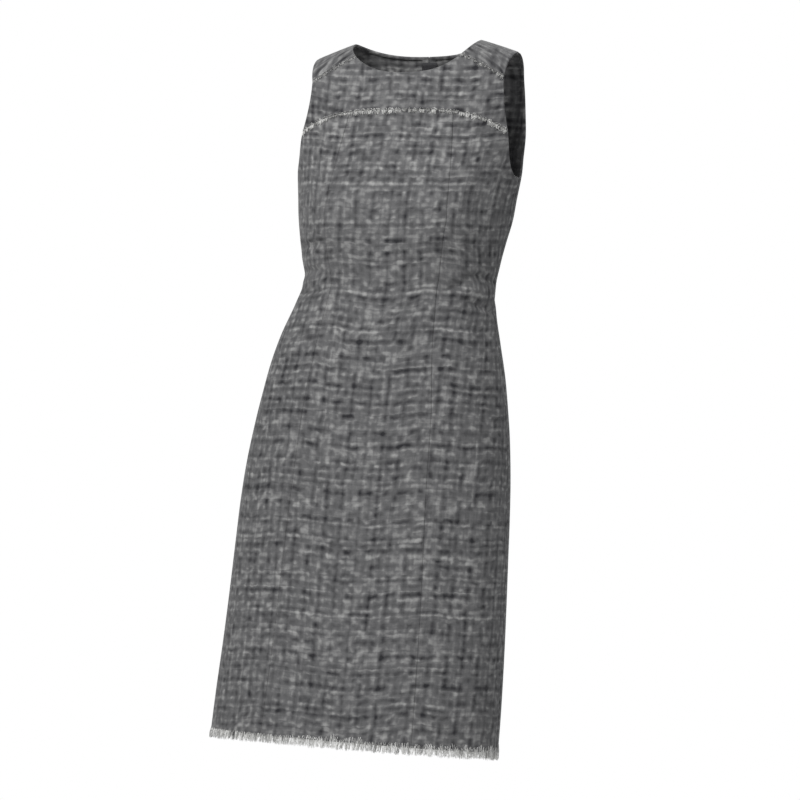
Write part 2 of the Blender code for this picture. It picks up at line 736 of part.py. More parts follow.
def slider_plate(frame, low, top):
    """Body of the slider, as a cutter that the arch is joined to."""
    bpy.ops.mesh.primitive_cube_add(size=1)
    plate = bpy.context.object
    plate.name = "slider_plate"
    plate.data.transform(Matrix.Diagonal((
        2 * SLIDER_HALF_WIDTH, SLIDER_TOP - SLIDER_BOTTOM - 2 * PLATE_SHORTER,
        top - low - 2 * PLATE_THINNER, 1)))
    plate.data.transform(Matrix.Translation((
        0, (SLIDER_TOP + SLIDER_BOTTOM) / 2, (low + top) / 2)))
    plate.matrix_world = frame
    for other in plate.users_collection:
        other.objects.unlink(plate)
    GUIDES.objects.link(plate)
    plate.hide_render = True
    plate.display_type = "WIRE"
    return plate


def zip_slider(frame):
    """Slider with the arch that the pull's bar turns under."""
    low = SLIDER_LIFT - PIVOT_OUT
    top = low + SLIDER_THICK
    arch_top = ARCH_CLEAR + ARCH_THICK
    shoulder = ARCH_CLEAR + ARCH_BEVEL
    profile = [(SLIDER_BOTTOM, low), (SLIDER_TOP, low), (SLIDER_TOP, top),
               (ARCH_REACH, top), (ARCH_REACH, shoulder), (ARCH_INSIDE, arch_top),
               (-ARCH_INSIDE, arch_top), (-ARCH_REACH, shoulder),
               (-ARCH_REACH, top), (SLIDER_BOTTOM, top)]
    sill = top + ARCH_SILL
    opening = [(ARCH_INSIDE, sill), (ARCH_INSIDE, ARCH_CLEAR),
               (-ARCH_INSIDE, ARCH_CLEAR), (-ARCH_INSIDE, sill)]
    mesh = flat_solid("zip_slider", (profile, opening), ARCH_WIDTH / 2)
    upright = Matrix(((0, 0, 1, 0), (1, 0, 0, 0), (0, 1, 0, 0), (0, 0, 0, 1)))
    mesh.transform(upright)
    slider = new_object("zip_slider", mesh, DARK_METAL)
    slider.matrix_world = frame
    union = slider.modifiers.new("plate", "BOOLEAN")
    union.operation = "UNION"
    union.solver = "EXACT"
    union.object = slider_plate(frame, low, top)


# ---------------------------------------------------------------- build

for thing in list(bpy.data.objects):
    bpy.data.objects.remove(thing)

PARTS = bpy.data.collections.new("sheath_dress")
GUIDES = bpy.data.collections.new("sheath_dress_cutters")
bpy.context.scene.collection.children.link(PARTS)
bpy.context.scene.collection.children.link(GUIDES)
CARRIER = bpy.data.objects.new("dress_origin", None)
PARTS.objects.link(CARRIER)

front_yoke()
front_centre()
front_side("front_side_left", mirror=False)
front_side("front_side_right", mirror=True)
back_panel("back_left", mirror=False)
back_panel("back_right", mirror=True)
seam_fringe("fringe_yoke", yoke_edge(), YOKE_STRANDS)
seam_fringe("fringe_shoulder_left", SHOULDER_SEAM, SHOULDER_STRANDS)
seam_fringe("fringe_shoulder_right", mirrored(SHOULDER_SEAM), SHOULDER_STRANDS)
hem_fringe()
zip_tape()
PIVOT = pivot_frame()
zip_slider(PIVOT)
zip_pull(PIVOT)
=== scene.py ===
"""Looks of the sheath dress: tweed panels with turned edges, frayed yarn ends and a back zip.

The cut pieces repeat the surface of the solids: a row of cross arcs, the
stations, from the back hem over the shoulders to the front hem.  A place on
it is a turn of the arc and a station number, below zero at the back.
"""

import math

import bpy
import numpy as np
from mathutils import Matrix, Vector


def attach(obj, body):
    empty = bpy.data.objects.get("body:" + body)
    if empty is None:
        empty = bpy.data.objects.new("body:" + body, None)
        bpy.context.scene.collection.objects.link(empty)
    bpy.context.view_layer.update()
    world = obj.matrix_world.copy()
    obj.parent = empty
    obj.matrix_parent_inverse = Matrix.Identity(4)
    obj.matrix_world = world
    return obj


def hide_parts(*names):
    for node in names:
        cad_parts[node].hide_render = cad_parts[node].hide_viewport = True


bl_info = {
    "name": "Sheath dress",
    "version": (1, 0, 0),
    "blender": (4, 5, 0),
    "location": "3D View > Sidebar > Dress",
    "description": "Makes the tweed, the frayed edges and the zip of a sheath dress",
    "category": "Object",
}

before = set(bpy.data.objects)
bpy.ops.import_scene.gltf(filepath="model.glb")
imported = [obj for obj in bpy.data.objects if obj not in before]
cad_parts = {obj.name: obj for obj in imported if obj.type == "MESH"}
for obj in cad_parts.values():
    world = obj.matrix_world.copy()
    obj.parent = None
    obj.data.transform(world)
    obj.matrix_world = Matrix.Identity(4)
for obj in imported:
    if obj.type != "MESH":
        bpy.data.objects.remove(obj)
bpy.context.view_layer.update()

MM = 0.001

# ---- the dress's form

SQUARENESS = 0.02
SHOULDER_FALL = 1.4
# height, half width, front and back depth, sideways shift (mm), roll (degrees)
BODY = (
    (-185, 153.5, 107, 106, -12.0, 0.6),
    (-212, 150.0, 110, 105, -14.5, 1.0),
    (-240, 147.0, 110, 102, -17.0, 1.4),
    (-269, 141.5, 107, 97, -20.5, 1.8),
    (-296, 136.5, 102, 93, -23.0, 2.1),
    (-329, 131.5, 98, 90, -25.0, 2.5),
    (-364, 138.5, 99, 94, -31.0, 3.0),
    (-405, 151.0, 102, 103, -37.5, 3.5),
    (-446, 161.5, 105, 113, -42.0, 3.9),
    (-487, 169.0, 107, 121, -46.0, 4.2),
    (-528, 175.5, 109, 127, -50.0, 4.4),
    (-582, 182.0, 111, 129, -55.5, 4.5),
    (-636, 186.0, 112, 128, -60.5, 4.5),
    (-691, 188.5, 113, 126, -65.0, 4.5),
    (-759, 191.5, 114, 124, -70.5, 4.5),
    (-827, 194.5, 116, 122, -76.5, 4.5),
    (-895, 197.5, 117, 121, -83.5, 4.5),
    (-950, 199.0, 118, 120, -89.3, 4.5),
)
# mid height, arm height, half width, depth at the arm and the middle, shift, roll
RIDGE = (20, -28, 165, 4, 4, 0.0, -1.6)
CHEST = (
    (12, -36, 165, -23, -33, 0.0, -1.5),
    (-4, -48, 164, -37, -53, -0.5, -1.3),
    (-30, -62, 162, -36, -65, -1.0, -1.1),
    (-60, -80, 160, -27, -74, -2.0, -0.8),
    (-93, -103, 158, -18, -83, -4.0, -0.4),
    (-128, -132, 158, -8, -94, -7.0, 0.0),
    (-158, -158, 156, 0, -102, -9.5, 0.3),
)
SHOULDER_BLADES = (
    (14, -34, 165, 26, 34, 0.0, -1.5),
    (-2, -46, 164, 45, 56, -0.5, -1.3),
    (-28, -62, 162, 44, 72, -1.0, -1.1),
    (-60, -80, 160, 33, 84, -2.0, -0.8),
    (-93, -103, 158, 20, 94, -4.0, -0.4),
    (-128, -132, 158, 8, 101, -7.0, 0.0),
    (-158, -158, 156, 0, 105, -9.5, 0.3),
)
BUST_X = 84 * MM
BUST_HEIGHT = -232 * MM
BUST_ACROSS = 60 * MM
BUST_ABOVE = 60 * MM
BUST_BELOW = 74 * MM
BUST_OUT = 24 * MM

NECK_HALF_WIDTH = 87.6 * MM
FRONT_NECK_DEPTH = 42.6 * MM
BACK_NECK_DEPTH = 19.0 * MM
NECK_ROUNDNESS = 2.6
NECK_SOFTNESS = 0.8
SEAM_AT_NECK = 57.7

# height (mm) and turn (degrees), down the front and up the back
ARMHOLE_FRONT = (
    (-18, 55.1), (-35, 53.7), (-55, 53.6), (-80, 56.3), (-105, 60.5),
    (-125, 64.0), (-145, 67.0), (-162, 70.3), (-175, 75.2), (-183, 82.0),
)
UNDERARM = (-185, 90.0)
ARMHOLE_BACK = (
    (-183, 82.3), (-175, 76.0), (-162, 71.3), (-145, 68.0), (-125, 65.2),
    (-105, 61.9), (-80, 57.4), (-55, 54.2), (-35, 53.8), (-18, 55.1),
)
SHOULDER_SEAM_AT_ARM = 1.8
YOKE_SEAM_AT_ARM = 4.95

YOKE_HEIGHT = -93 * MM
YOKE_DROP = 31 * MM
YOKE_HALF_WIDTH = 146 * MM
YOKE_CURVE = 3.5
# height and distance from the middle (mm)
PANEL_SEAM = (
    (-97, 73), (-150, 79), (-200, 84), (-240, 86), (-290, 80), (-335, 74),
    (-400, 80), (-500, 90), (-650, 96), (-800, 101), (-950, 106),
)

ZIP_TOP = -25 * MM
ZIP_END = -540 * MM
ZIP_HALF_WIDTH = 11 * MM
ZIP_DEPTH = 3.8 * MM           # middle of the tape, under the surface
PIVOT_HEIGHT = -34 * MM
PIVOT_OUT = 2.55 * MM

SLOPE_STEP = 1e-3
HALVINGS = 45
ROOT_STEPS = 8


def station_table():
    """All stations in order, back hem to ridge to front hem, in metres."""
    back = [(h, h, w, 0, b, s, r) for h, w, f, b, s, r in reversed(BODY)]
    blades = list(reversed(SHOULDER_BLADES))
    front = [(h, h, w, 0, -f, s, r) for h, w, f, b, s, r in BODY]
    rows = np.array(back + blades + [RIDGE] + list(CHEST) + front, float)
    rows[:, :6] *= MM
    rows[:, 6] = np.radians(rows[:, 6])
    return rows


STATIONS = station_table()
HEM = len(BODY) + len(CHEST)
UNDERARM_STATION = len(CHEST) + 1


def smooth_rows(rows, place):
    """Rows of a table read at fractional places, on a smooth curve."""
    place = np.asarray(place, float)
    last = len(rows) - 1
    first = np.clip(np.floor(place).astype(int), 0, last - 1)
    t = (place - first)[..., None]
    p1 = rows[first]
    p2 = rows[first + 1]
    p0 = np.where((first > 0)[..., None], rows[np.maximum(first - 1, 0)], 2 * p1 - p2)
    p3 = np.where((first + 2 <= last)[..., None],
                  rows[np.minimum(first + 2, last)], 2 * p2 - p1)
    m1 = (p2 - p0) / 2
    m2 = (p3 - p1) / 2
    return ((2 * t**3 - 3 * t**2 + 1) * p1 + (t**3 - 2 * t**2 + t) * m1
            + (3 * t**2 - 2 * t**3) * p2 + (t**3 - t**2) * m2)


def station(number):
    return smooth_rows(STATIONS, np.asarray(number, float) + HEM)


def across(turn):
    """Share of the half width at a turn of the cross arc."""
    return (np.sin(turn) + SQUARENESS * np.sin(3 * turn)) / (1 - SQUARENESS)


def surface(turn, number):
    """Points of the dress's outer surface."""
    mid, side, width, arm, depth, shift, roll = np.moveaxis(station(number), -1, 0)
    share = across(turn)
    x = width * share
    inward = (np.cos(turn) - SQUARENESS * np.cos(3 * turn)) / (1 - SQUARENESS)
    y = arm - (arm - depth) * inward
    z = mid + (side - mid) * np.abs(share) ** SHOULDER_FALL
    reach = np.where(z > BUST_HEIGHT, BUST_ABOVE, BUST_BELOW)
    upright = np.exp(-((z - BUST_HEIGHT) / reach) ** 2)
    sides = (np.exp(-((x - BUST_X) / BUST_ACROSS) ** 2)
             + np.exp(-((x + BUST_X) / BUST_ACROSS) ** 2))
    y = y - np.where(number > 0, BUST_OUT * upright * sides * (1 - share**4), 0.0)
    return np.stack([shift + x * np.cos(roll), y, z - x * np.sin(roll)], -1)


def unit(vectors):
    return vectors / np.linalg.norm(vectors, axis=-1, keepdims=True)


def slopes(turn, number):
    """Directions on the surface: across, along and straight out."""
    over = surface(turn + SLOPE_STEP, number) - surface(turn - SLOPE_STEP, number)
    down = surface(turn, number + SLOPE_STEP) - surface(turn, number - SLOPE_STEP)
    out = np.cross(down, over)
    return unit(over), unit(down), unit(out)


def number_at(height, back=False, turn=None, x=None):
    """Station number where the surface reaches a height, for a turn or an x."""
    height = np.asarray(height, float)
    low = np.zeros(height.shape)
    high = np.full(height.shape, float(HEM))
    for _ in range(HALVINGS):
        middle = (low + high) / 2
        rows = station(-middle if back else middle)
        share = across(turn) if x is None else x / rows[..., 2]
        z = rows[..., 0] + (rows[..., 1] - rows[..., 0]) * np.abs(share) ** SHOULDER_FALL
        low = np.where(z > height, middle, low)
        high = np.where(z > height, high, middle)
    return -low if back else low


def turn_at(x, number):
    """Turn of the cross arc at a distance x from the middle."""
    goal = np.asarray(x, float) / station(number)[..., 2] * (1 - SQUARENESS)
    sine = goal.copy()
    for _ in range(ROOT_STEPS):
        error = sine * (1 + 3 * SQUARENESS) - 4 * SQUARENESS * sine**3 - goal
        sine = sine - error / (1 + 3 * SQUARENESS - 12 * SQUARENESS * sine**2)
    return np.arcsin(np.clip(sine, -1, 1))


# ---- seam lines

def spread(start, end, count):
    return np.linspace(start, end, count + 1)


def straight(start, end, count):
    share = spread(0, 1, count)[:, None]
    return np.asarray(start) * (1 - share) + np.asarray(end) * share


def mirrored(line):
    return line * np.array([-1.0, 1.0])


def armhole_line(places):
    """Armhole from the front ridge (0) under the arm and up the back."""
    rows = np.array(ARMHOLE_FRONT + (UNDERARM,)
                    + tuple((h, 180 - t) for h, t in ARMHOLE_BACK), float)
    height, degrees = np.moveaxis(smooth_rows(rows, places), -1, 0)
    back = degrees > 90
    turn = np.radians(np.where(back, 180 - degrees, degrees))
    front_numbers = number_at(height * MM, turn=turn)
    back_numbers = number_at(height * MM, back=True, turn=turn)
    numbers = np.where(back, back_numbers, front_numbers)
    ridge = np.isin(places, (0, len(rows) - 1))
    return np.stack([turn, np.where(ridge, 0.0, numbers)], -1)


ARMHOLE_UNDER = float(len(ARMHOLE_FRONT))
ARMHOLE_END = float(len(ARMHOLE_FRONT) + len(ARMHOLE_BACK))
NECK_AT_ARMHOLE = ARMHOLE_UNDER + 7.0      # place level with the back neck


def neck_line(degrees, back=False):
    """Neck edge: 0 degrees at the middle to 90 on the ridge."""
    degrees = np.asarray(degrees, float)
    share = np.sin(np.radians(degrees))
    x = NECK_HALF_WIDTH * share
    depth = BACK_NECK_DEPTH if back else FRONT_NECK_DEPTH
    at_ridge = (RIDGE[0] + (RIDGE[1] - RIDGE[0])
                * (NECK_HALF_WIDTH / (RIDGE[2] * MM)) ** SHOULDER_FALL) * MM
    fall = np.maximum(1 - np.abs(share) ** NECK_ROUNDNESS, 0) ** NECK_SOFTNESS
    numbers = number_at(at_ridge - depth * fall, back=back, x=x)
    numbers = np.where(degrees == 90, 0.0, numbers)
    return np.stack([turn_at(x, numbers), numbers], -1)


def yoke_line(x):
    """Yoke seam across the chest."""
    height = YOKE_HEIGHT - YOKE_DROP * np.abs(x / YOKE_HALF_WIDTH) ** YOKE_CURVE
    numbers = number_at(height, x=x)
    return np.stack([turn_at(x, numbers), numbers], -1)


def panel_line(numbers):
    """Front panel seam at the given station numbers."""
    heights, distances = np.array(PANEL_SEAM, float).T * MM
    z = station(numbers)[..., 0]
    x = np.interp(-z, -heights, distances)
    return np.stack([turn_at(x, numbers), numbers], -1)


SHOULDER_SEAM = straight(
    neck_line([SEAM_AT_NECK])[0], armhole_line(np.array([SHOULDER_SEAM_AT_ARM]))[0], 1)
YOKE_END = armhole_line(np.array([YOKE_SEAM_AT_ARM]))[0]

# ---- fine grids

CENTRE_COLUMNS = 40
SIDE_COLUMNS = 26
BACK_COLUMNS = 56
YOKE_ROWS = 20
SEAM_COLUMNS = 14
CHEST_ROWS = 22
BLADE_ROWS = 40
NECK_ROWS = 22
OVER_ROWS = 10
LOWER_ROWS = 172
EDGE_SHARES = (0.25, 0.6)      # extra rows within the first cell of an edge

LOWER_NUMBERS = number_at(
    spread(BODY[0][0] * MM, BODY[-1][0] * MM, LOWER_ROWS), x=0.0)
LOWER_NUMBERS[0] = UNDERARM_STATION
LOWER_NUMBERS[-1] = HEM


def yoke_seam_points():
    """Yoke seam points shared by the yoke and the three panels below it."""
    corner = PANEL_SEAM[0][1] * MM
    end_x = float(station(YOKE_END[1])[2] * across(YOKE_END[0]))
    centre_line = yoke_line(spread(0, corner, CENTRE_COLUMNS // 2))
    side_line = yoke_line(spread(corner, end_x, SIDE_COLUMNS))
    side_line[-1] = YOKE_END
    return centre_line, side_line


def yoke_edge():
    """The whole yoke seam, from the wearer's right armhole to the left."""
    centre, side = yoke_seam_points()
    half = np.concatenate([side[::-1], centre[-2::-1]])
    return np.concatenate([mirrored(half), half[-2::-1]])


def grid_between(top, bottom, left, right):
    """Rows by columns of (turn, number) filled between four edge lines."""
    rows = spread(0, 1, len(left) - 1)[:, None, None]
    columns = spread(0, 1, len(top) - 1)[None, :, None]
    ruled = (1 - rows) * top[None] + rows * bottom[None]
    beside = (1 - columns) * left[:, None] + columns * right[:, None]
    corners = ((1 - rows) * (1 - columns) * top[0] + (1 - rows) * columns * top[-1]
               + rows * (1 - columns) * bottom[0] + rows * columns * bottom[-1])
    return ruled + beside - corners


def finer_at_edges(grid):
    """Adds rows and columns close to the four edges of a grid."""
    for _ in range(2):
        first = [grid[0] * (1 - s) + grid[1] * s for s in EDGE_SHARES]
        last = [grid[-1] * (1 - s) + grid[-2] * s for s in reversed(EDGE_SHARES)]
        grid = np.concatenate([grid[:1], first, grid[1:-1], last, grid[-1:]])
        grid = np.swapaxes(grid, 0, 1)
    return grid


def yoke_grid():
    bottom = yoke_edge()
    seam = straight(SHOULDER_SEAM[1], SHOULDER_SEAM[0], SEAM_COLUMNS)
    neck = neck_line(spread(SEAM_AT_NECK, 0, len(bottom) // 2 - SEAM_COLUMNS))
    half_top = np.concatenate([seam, neck[1:]])
    top = np.concatenate([mirrored(half_top), half_top[-2::-1]])
    arm = armhole_line(spread(SHOULDER_SEAM_AT_ARM, YOKE_SEAM_AT_ARM, YOKE_ROWS))
    return grid_between(top, bottom, mirrored(arm), arm)


def panel_seam_rows():
    start = yoke_seam_points()[1][0]
    upper = spread(start[1], UNDERARM_STATION, CHEST_ROWS)[:-1]
    line = panel_line(np.concatenate([upper, LOWER_NUMBERS]))
    line[0] = start
    return line


def centre_grid():
    half = yoke_seam_points()[0]
    top = np.concatenate([mirrored(half[::-1]), half[1:]])
    right = panel_seam_rows()
    bottom = straight(mirrored(right[-1]), right[-1], CENTRE_COLUMNS)
    return grid_between(top, bottom, mirrored(right), right)


def side_rows():
    return np.stack([np.full(len(LOWER_NUMBERS), np.pi / 2), LOWER_NUMBERS], -1)


def side_grid():
    top = yoke_seam_points()[1]
    inner = panel_seam_rows()
    places = spread(YOKE_SEAM_AT_ARM, ARMHOLE_UNDER, CHEST_ROWS)[:-1]
    outer = np.concatenate([armhole_line(places), side_rows()])
    bottom = straight(inner[-1], outer[-1], SIDE_COLUMNS)
    return grid_between(top, bottom, inner, outer)


def back_grid():
    """A back panel, from the shoulder seam over the shoulder down to the hem."""
    lower = LOWER_NUMBERS[::-1]
    neck_middle = float(neck_line([0.0], back=True)[0][1])
    blade = spread(-UNDERARM_STATION, neck_middle, BLADE_ROWS)[1:]
    middle = np.stack([np.zeros(len(lower) + len(blade)), np.concatenate([-lower, blade])], -1)
    neck = neck_line(spread(0, 90, NECK_ROWS)[1:], back=True)
    over = neck_line(spread(90, SEAM_AT_NECK, OVER_ROWS)[1:])
    left = np.concatenate([middle, neck, over])
    side = side_rows()[::-1] * np.array([1.0, -1.0])
    arm_places = np.concatenate([
        spread(ARMHOLE_UNDER, NECK_AT_ARMHOLE, BLADE_ROWS)[1:],
        spread(NECK_AT_ARMHOLE, ARMHOLE_END, NECK_ROWS)[1:]])
    arm_over = spread(0, SHOULDER_SEAM_AT_ARM, OVER_ROWS)[1:]
    right = np.concatenate([side, armhole_line(arm_places), armhole_line(arm_over)])
    hem = straight(left[0], right[0], BACK_COLUMNS)
    seam = straight(left[-1], right[-1], BACK_COLUMNS)
    return grid_between(hem, seam, left, right)[::-1]


# ---- creases

FRONT = False
BACK = True
# face, start, middle and end as (x, height) on the surface, how deep and how
# wide; a trough is above zero and a ridge below (mm)
CREASES = (
    # right of the waist, as seen from the front: three short dark folds
    (FRONT, (108, -320), (98, -315), (84, -317), 6.4, 6.0),
    (FRONT, (82, -326), (73, -330), (62, -332), 4.6, 5.5),
    (FRONT, (108, -361), (97, -353), (84, -348), 6.4, 6.0),
    (FRONT, (106, -340), (94, -333), (80, -336), -2.8, 8.0),
    (FRONT, (106, -392), (90, -384), (68, -382), 2.2, 8.0),
    # left of the waist
    (FRONT, (-156, -288), (-132, -281), (-108, -276), 4.8, 6.5),
    (FRONT, (-153, -320), (-132, -315), (-110, -318), 4.2, 6.0),
    (FRONT, (-152, -349), (-132, -344), (-112, -346), 4.2, 6.0),
    (FRONT, (-156, -334), (-136, -329), (-116, -331), -2.0, 7.0),
    # across the middle of the waist
    (FRONT, (-60, -338), (-20, -333), (22, -337), 1.6, 9.0),
    (FRONT, (-30, -362), (10, -359), (46, -366), 1.2, 10.0),
    # pull from the bust to the armhole and the side seam
    (FRONT, (118, -168), (104, -192), (92, -214), 1.8, 8.0),
    (FRONT, (-126, -166), (-112, -190), (-100, -212), 1.8, 8.0),
    (FRONT, (128, -232), (110, -256), (96, -284), 1.8, 10.0),
    (FRONT, (-148, -236), (-130, -258), (-112, -266), 2.2, 10.0),
    (FRONT, (-20, -206), (-4, -236), (-8, -272), 1.6, 18.0),
    # pull across the hips
    (FRONT, (112, -446), (82, -436), (40, -440), 1.4, 11.0),
    (FRONT, (-186, -452), (-158, -438), (-118, -440), 1.4, 11.0),
    (FRONT, (-196, -500), (-160, -494), (-110, -500), 1.0, 12.0),
    # long soft falls of the skirt
    (FRONT, (-128, -560), (-142, -740), (-152, -943), 2.6, 26.0),
    (FRONT, (-76, -600), (-86, -760), (-92, -943), -2.0, 30.0),
    (FRONT, (-24, -560), (-34, -740), (-40, -943), 1.8, 26.0),
    (FRONT, (36, -620), (30, -780), (26, -943), -1.8, 28.0),
    (FRONT, (84, -540), (76, -730), (72, -943), 2.4, 22.0),
    # the back, which isn't shown: like folds above the seat and at the sides
    (BACK, (104, -318), (84, -312), (52, -316), 2.8, 8.0),
    (BACK, (105, -346), (80, -338), (34, -340), 3.2, 9.0),
    (BACK, (100, -372), (76, -366), (44, -368), 2.2, 9.0),
    (BACK, (-152, -322), (-128, -314), (-96, -318), 2.8, 8.0),
    (BACK, (-154, -350), (-126, -342), (-84, -345), 3.0, 9.0),
    (BACK, (-156, -378), (-130, -372), (-100, -376), 2.0, 9.0),
    (BACK, (10, -330), (-24, -326), (-62, -332), 1.8, 10.0),
    (BACK, (24, -294), (-12, -290), (-56, -296), 1.4, 10.0),
    (BACK, (112, -206), (98, -226), (80, -240), 1.8, 9.0),
    (BACK, (-136, -206), (-122, -228), (-102, -242), 1.8, 9.0),
    (BACK, (-120, -560), (-134, -740), (-146, -943), 2.6, 26.0),
    (BACK, (-70, -640), (-80, -790), (-88, -943), -2.0, 28.0),
    (BACK, (30, -620), (20, -780), (12, -943), -1.8, 28.0),
    (BACK, (70, -560), (62, -740), (56, -943), 2.4, 24.0),
)
CREASE_READINGS = 15
CREASE_LIP = 0.55              # how much the cloth rises beside a trough


def surface_point(back, x, height):
    """Point of the surface at a world x and a station height (mm)."""
    number = number_at(np.array(height * MM), back=back, x=0.0)
    shift = station(number)[5]
    return surface(turn_at(np.array(x * MM - shift), number), number)


def crease_depth(points, strength):
    """How far the cloth sinks in at each point."""
    depth = np.zeros(points.shape[:-1])
    for back, start, middle, end, deep, wide in CREASES:
        a, b, c = (surface_point(back, *place) for place in (start, middle, end))
        nearest = np.full(depth.shape, np.inf)
        taper = np.zeros(depth.shape)
        for t in np.linspace(0, 1, CREASE_READINGS):
            place = (1 - t) ** 2 * a + 2 * t * (1 - t) * (2 * b - (a + c) / 2) + t**2 * c
            distance = np.linalg.norm(points - place, axis=-1)
            closer = distance < nearest
            nearest = np.where(closer, distance, nearest)
            taper = np.where(closer, math.sin(math.pi * (0.12 + 0.76 * t)), taper)
        reach = (nearest / (wide * MM)) ** 2
        depth += deep * MM * taper * (1 - CREASE_LIP * reach) * np.exp(-reach)
    return depth * strength


# ---- settings

class DressSizes(bpy.types.PropertyGroup):
    cloth: bpy.props.FloatProperty(
        name="Cloth", description="Thickness of the tweed", default=1.3 * MM, unit="LENGTH")
    fold_depth: bpy.props.FloatProperty(
        name="Fold depth", description="From the cloth to its turned edge", default=1.7 * MM,
        unit="LENGTH")
    crease: bpy.props.FloatProperty(
        name="Creases", description="Share of the creases' depth", default=1.0)
    hem_fringe: bpy.props.FloatProperty(
        name="Hem fringe", description="Length of the hem's yarn ends", default=12 * MM,
        unit="LENGTH")
    seam_fringe: bpy.props.FloatProperty(
        name="Seam fringe", description="Length of the seams' yarn ends", default=8 * MM,
        unit="LENGTH")
    yarn: bpy.props.FloatProperty(
        name="Yarn", description="Thickness of one yarn end", default=0.62 * MM, unit="LENGTH")


class DressColours(bpy.types.PropertyGroup):
    dark: bpy.props.FloatVectorProperty(
        name="Dark yarn", description="Colour of the dark yarns", size=3,
        default=(0.021, 0.021, 0.024), subtype="COLOR")
    ground: bpy.props.FloatVectorProperty(
        name="Ground", description="Colour of the ground weave", size=3,
        default=(0.121, 0.121, 0.124), subtype="COLOR")
    light: bpy.props.FloatVectorProperty(
        name="Light slubs", description="Colour of the light slubs", size=3,
        default=(0.37, 0.37, 0.366), subtype="COLOR")
    ends: bpy.props.FloatVectorProperty(
        name="Yarn ends", description="Colour of the frayed yarn ends", size=3,
        default=(0.60, 0.60, 0.585), subtype="COLOR")
    metal: bpy.props.FloatVectorProperty(
        name="Zip metal", description="Colour of the slider and pull", size=3,
        default=(0.16, 0.16, 0.17), subtype="COLOR")
    floor: bpy.props.FloatVectorProperty(
        name="Floor", description="Colour of the floor", size=3,
        default=(0.86, 0.86, 0.85), subtype="COLOR")


# ---- materials

class Finish:
    """One material and short calls that add its nodes."""

    def __init__(self, name):
        self.material = bpy.data.materials.new(name)
        self.material.use_nodes = True
        self.tree = self.material.node_tree
        self.shader = self.tree.nodes["Principled BSDF"]

    def node(self, kind, **settings):
        made = self.tree.nodes.new(kind)
        for key, value in settings.items():
            setattr(made, key, value)
        return made

    def link(self, source, socket):
        if isinstance(source, (int, float, tuple)):
            socket.default_value = source
        else:
            self.tree.links.new(source, socket)

    def feed(self, node, **sources):
        for name, source in sources.items():
            self.link(source, node.inputs[name.replace("_", " ")])

    def set(self, **sources):
        self.feed(self.shader, **sources)

    def math(self, operation, a, b=0.0, c=0.0):
        made = self.node("ShaderNodeMath", operation=operation)
        for source, socket in zip((a, b, c), made.inputs):
            self.link(source, socket)
        return made.outputs[0]

    def point(self, x, y):
        made = self.node("ShaderNodeCombineXYZ")
        self.feed(made, X=x, Y=y)
        return made.outputs[0]

    def split(self, source):
        made = self.node("ShaderNodeSeparateXYZ")
        self.link(source, made.inputs[0])
        return made.outputs

    def uv(self, name):
        return self.split(self.node("ShaderNodeUVMap", uv_map=name).outputs[0])[:2]

    def object_place(self):
        return self.node("ShaderNodeTexCoord").outputs["Object"]

    def noise(self, place, scale, detail=2.0, roughness=0.5):
        made = self.node("ShaderNodeTexNoise")
        self.feed(made, Vector=place, Scale=scale, Detail=detail, Roughness=roughness)
        return made.outputs

    def smooth(self, value, low, high, to_low=0.0, to_high=1.0):
        made = self.node("ShaderNodeMapRange", interpolation_type="SMOOTHSTEP")
        self.feed(made, Value=value, From_Min=low, From_Max=high, To_Min=to_low, To_Max=to_high)
        return made.outputs["Result"]

    def ramp(self, value, stops):
        made = self.node("ShaderNodeValToRGB")
        elements = made.color_ramp.elements
        while len(elements) < len(stops):
            elements.new(0.5)
        for element, (place, colour) in zip(elements, stops):
            element.position = place
            element.color = (*colour, 1.0)
        self.link(value, made.inputs[0])
        return made.outputs["Color"]

    def bump(self, height, distance, strength):
        made = self.node("ShaderNodeBump")
        self.feed(made, Height=height, Distance=distance, Strength=strength)
        self.set(Normal=made.outputs[0])


WEFT, WARP = "weft", "warp"    # yarn that runs across the dress, and along it
# way, distance of the rows, thickness and length of the dashes (mm), where the
# dashes are cut, how far a row strays, strength of every other row, and how much
# the layer lightens the shade and raises the cloth
YARN_LAYERS = (
    (WEFT, 7.3, 4.9, 12.0, 0.53, 0.5, 1.0, 0.29, 0.6),
    (WARP, 6.1, 4.3, 8.5, 0.54, 0.5, 1.0, 0.14, 0.5),
    (WEFT, 8.3, 4.0, 12.0, 0.60, 0.8, 1.0, 0.25, 0.8),
    (WEFT, 3.7, 2.1, 12.0, 0.50, 0.5, 1.0, -0.06, 0.0),
    (WARP, 4.3, 2.1, 9.0, 0.50, 0.5, 1.0, -0.05, 0.0),
    (WEFT, 10.2, 5.4, 17.0, 0.49, 0.4, 0.6, -0.51, 0.3),
    (WARP, 11.5, 4.9, 14.0, 0.46, 0.3, 0.45, -0.38, 0.3),
)
# scale of the noise, and how far it moves the yarns across and along (mm)
YARN_DRIFT = ((0.022, 7.0, 9.0), (0.13, 3.2, 4.2))
PATCHES = (0.035, 3.0)         # noise of the large light and dark patches
FIBRES = (0.42, 4.0, 0.7)      # noise of the fibres
PATCH_SHARE, FIBRE_SHARE, MEAN_SHADE = 0.38, 0.20, 0.52
WEAVE_PITCH = (3.0, 2.6)       # mm
WEAVE_RAISED = 0.22
YARN_FADE = (-0.1, 1.2)        # a yarn's shade fades between these shares of its width
DASH_FADE = 0.18
ROW_LOT, DASH_LOT, WAVE_LOT = 100.0, 60.0, 3.7     # keep the rows' draws apart
WEAKEST_ROW = 0.6
BLEACHED = (0.86, 0.86, 0.85)


def half_way(one, other):
    return tuple((a + b) / 2 for a, b in zip(one, other))


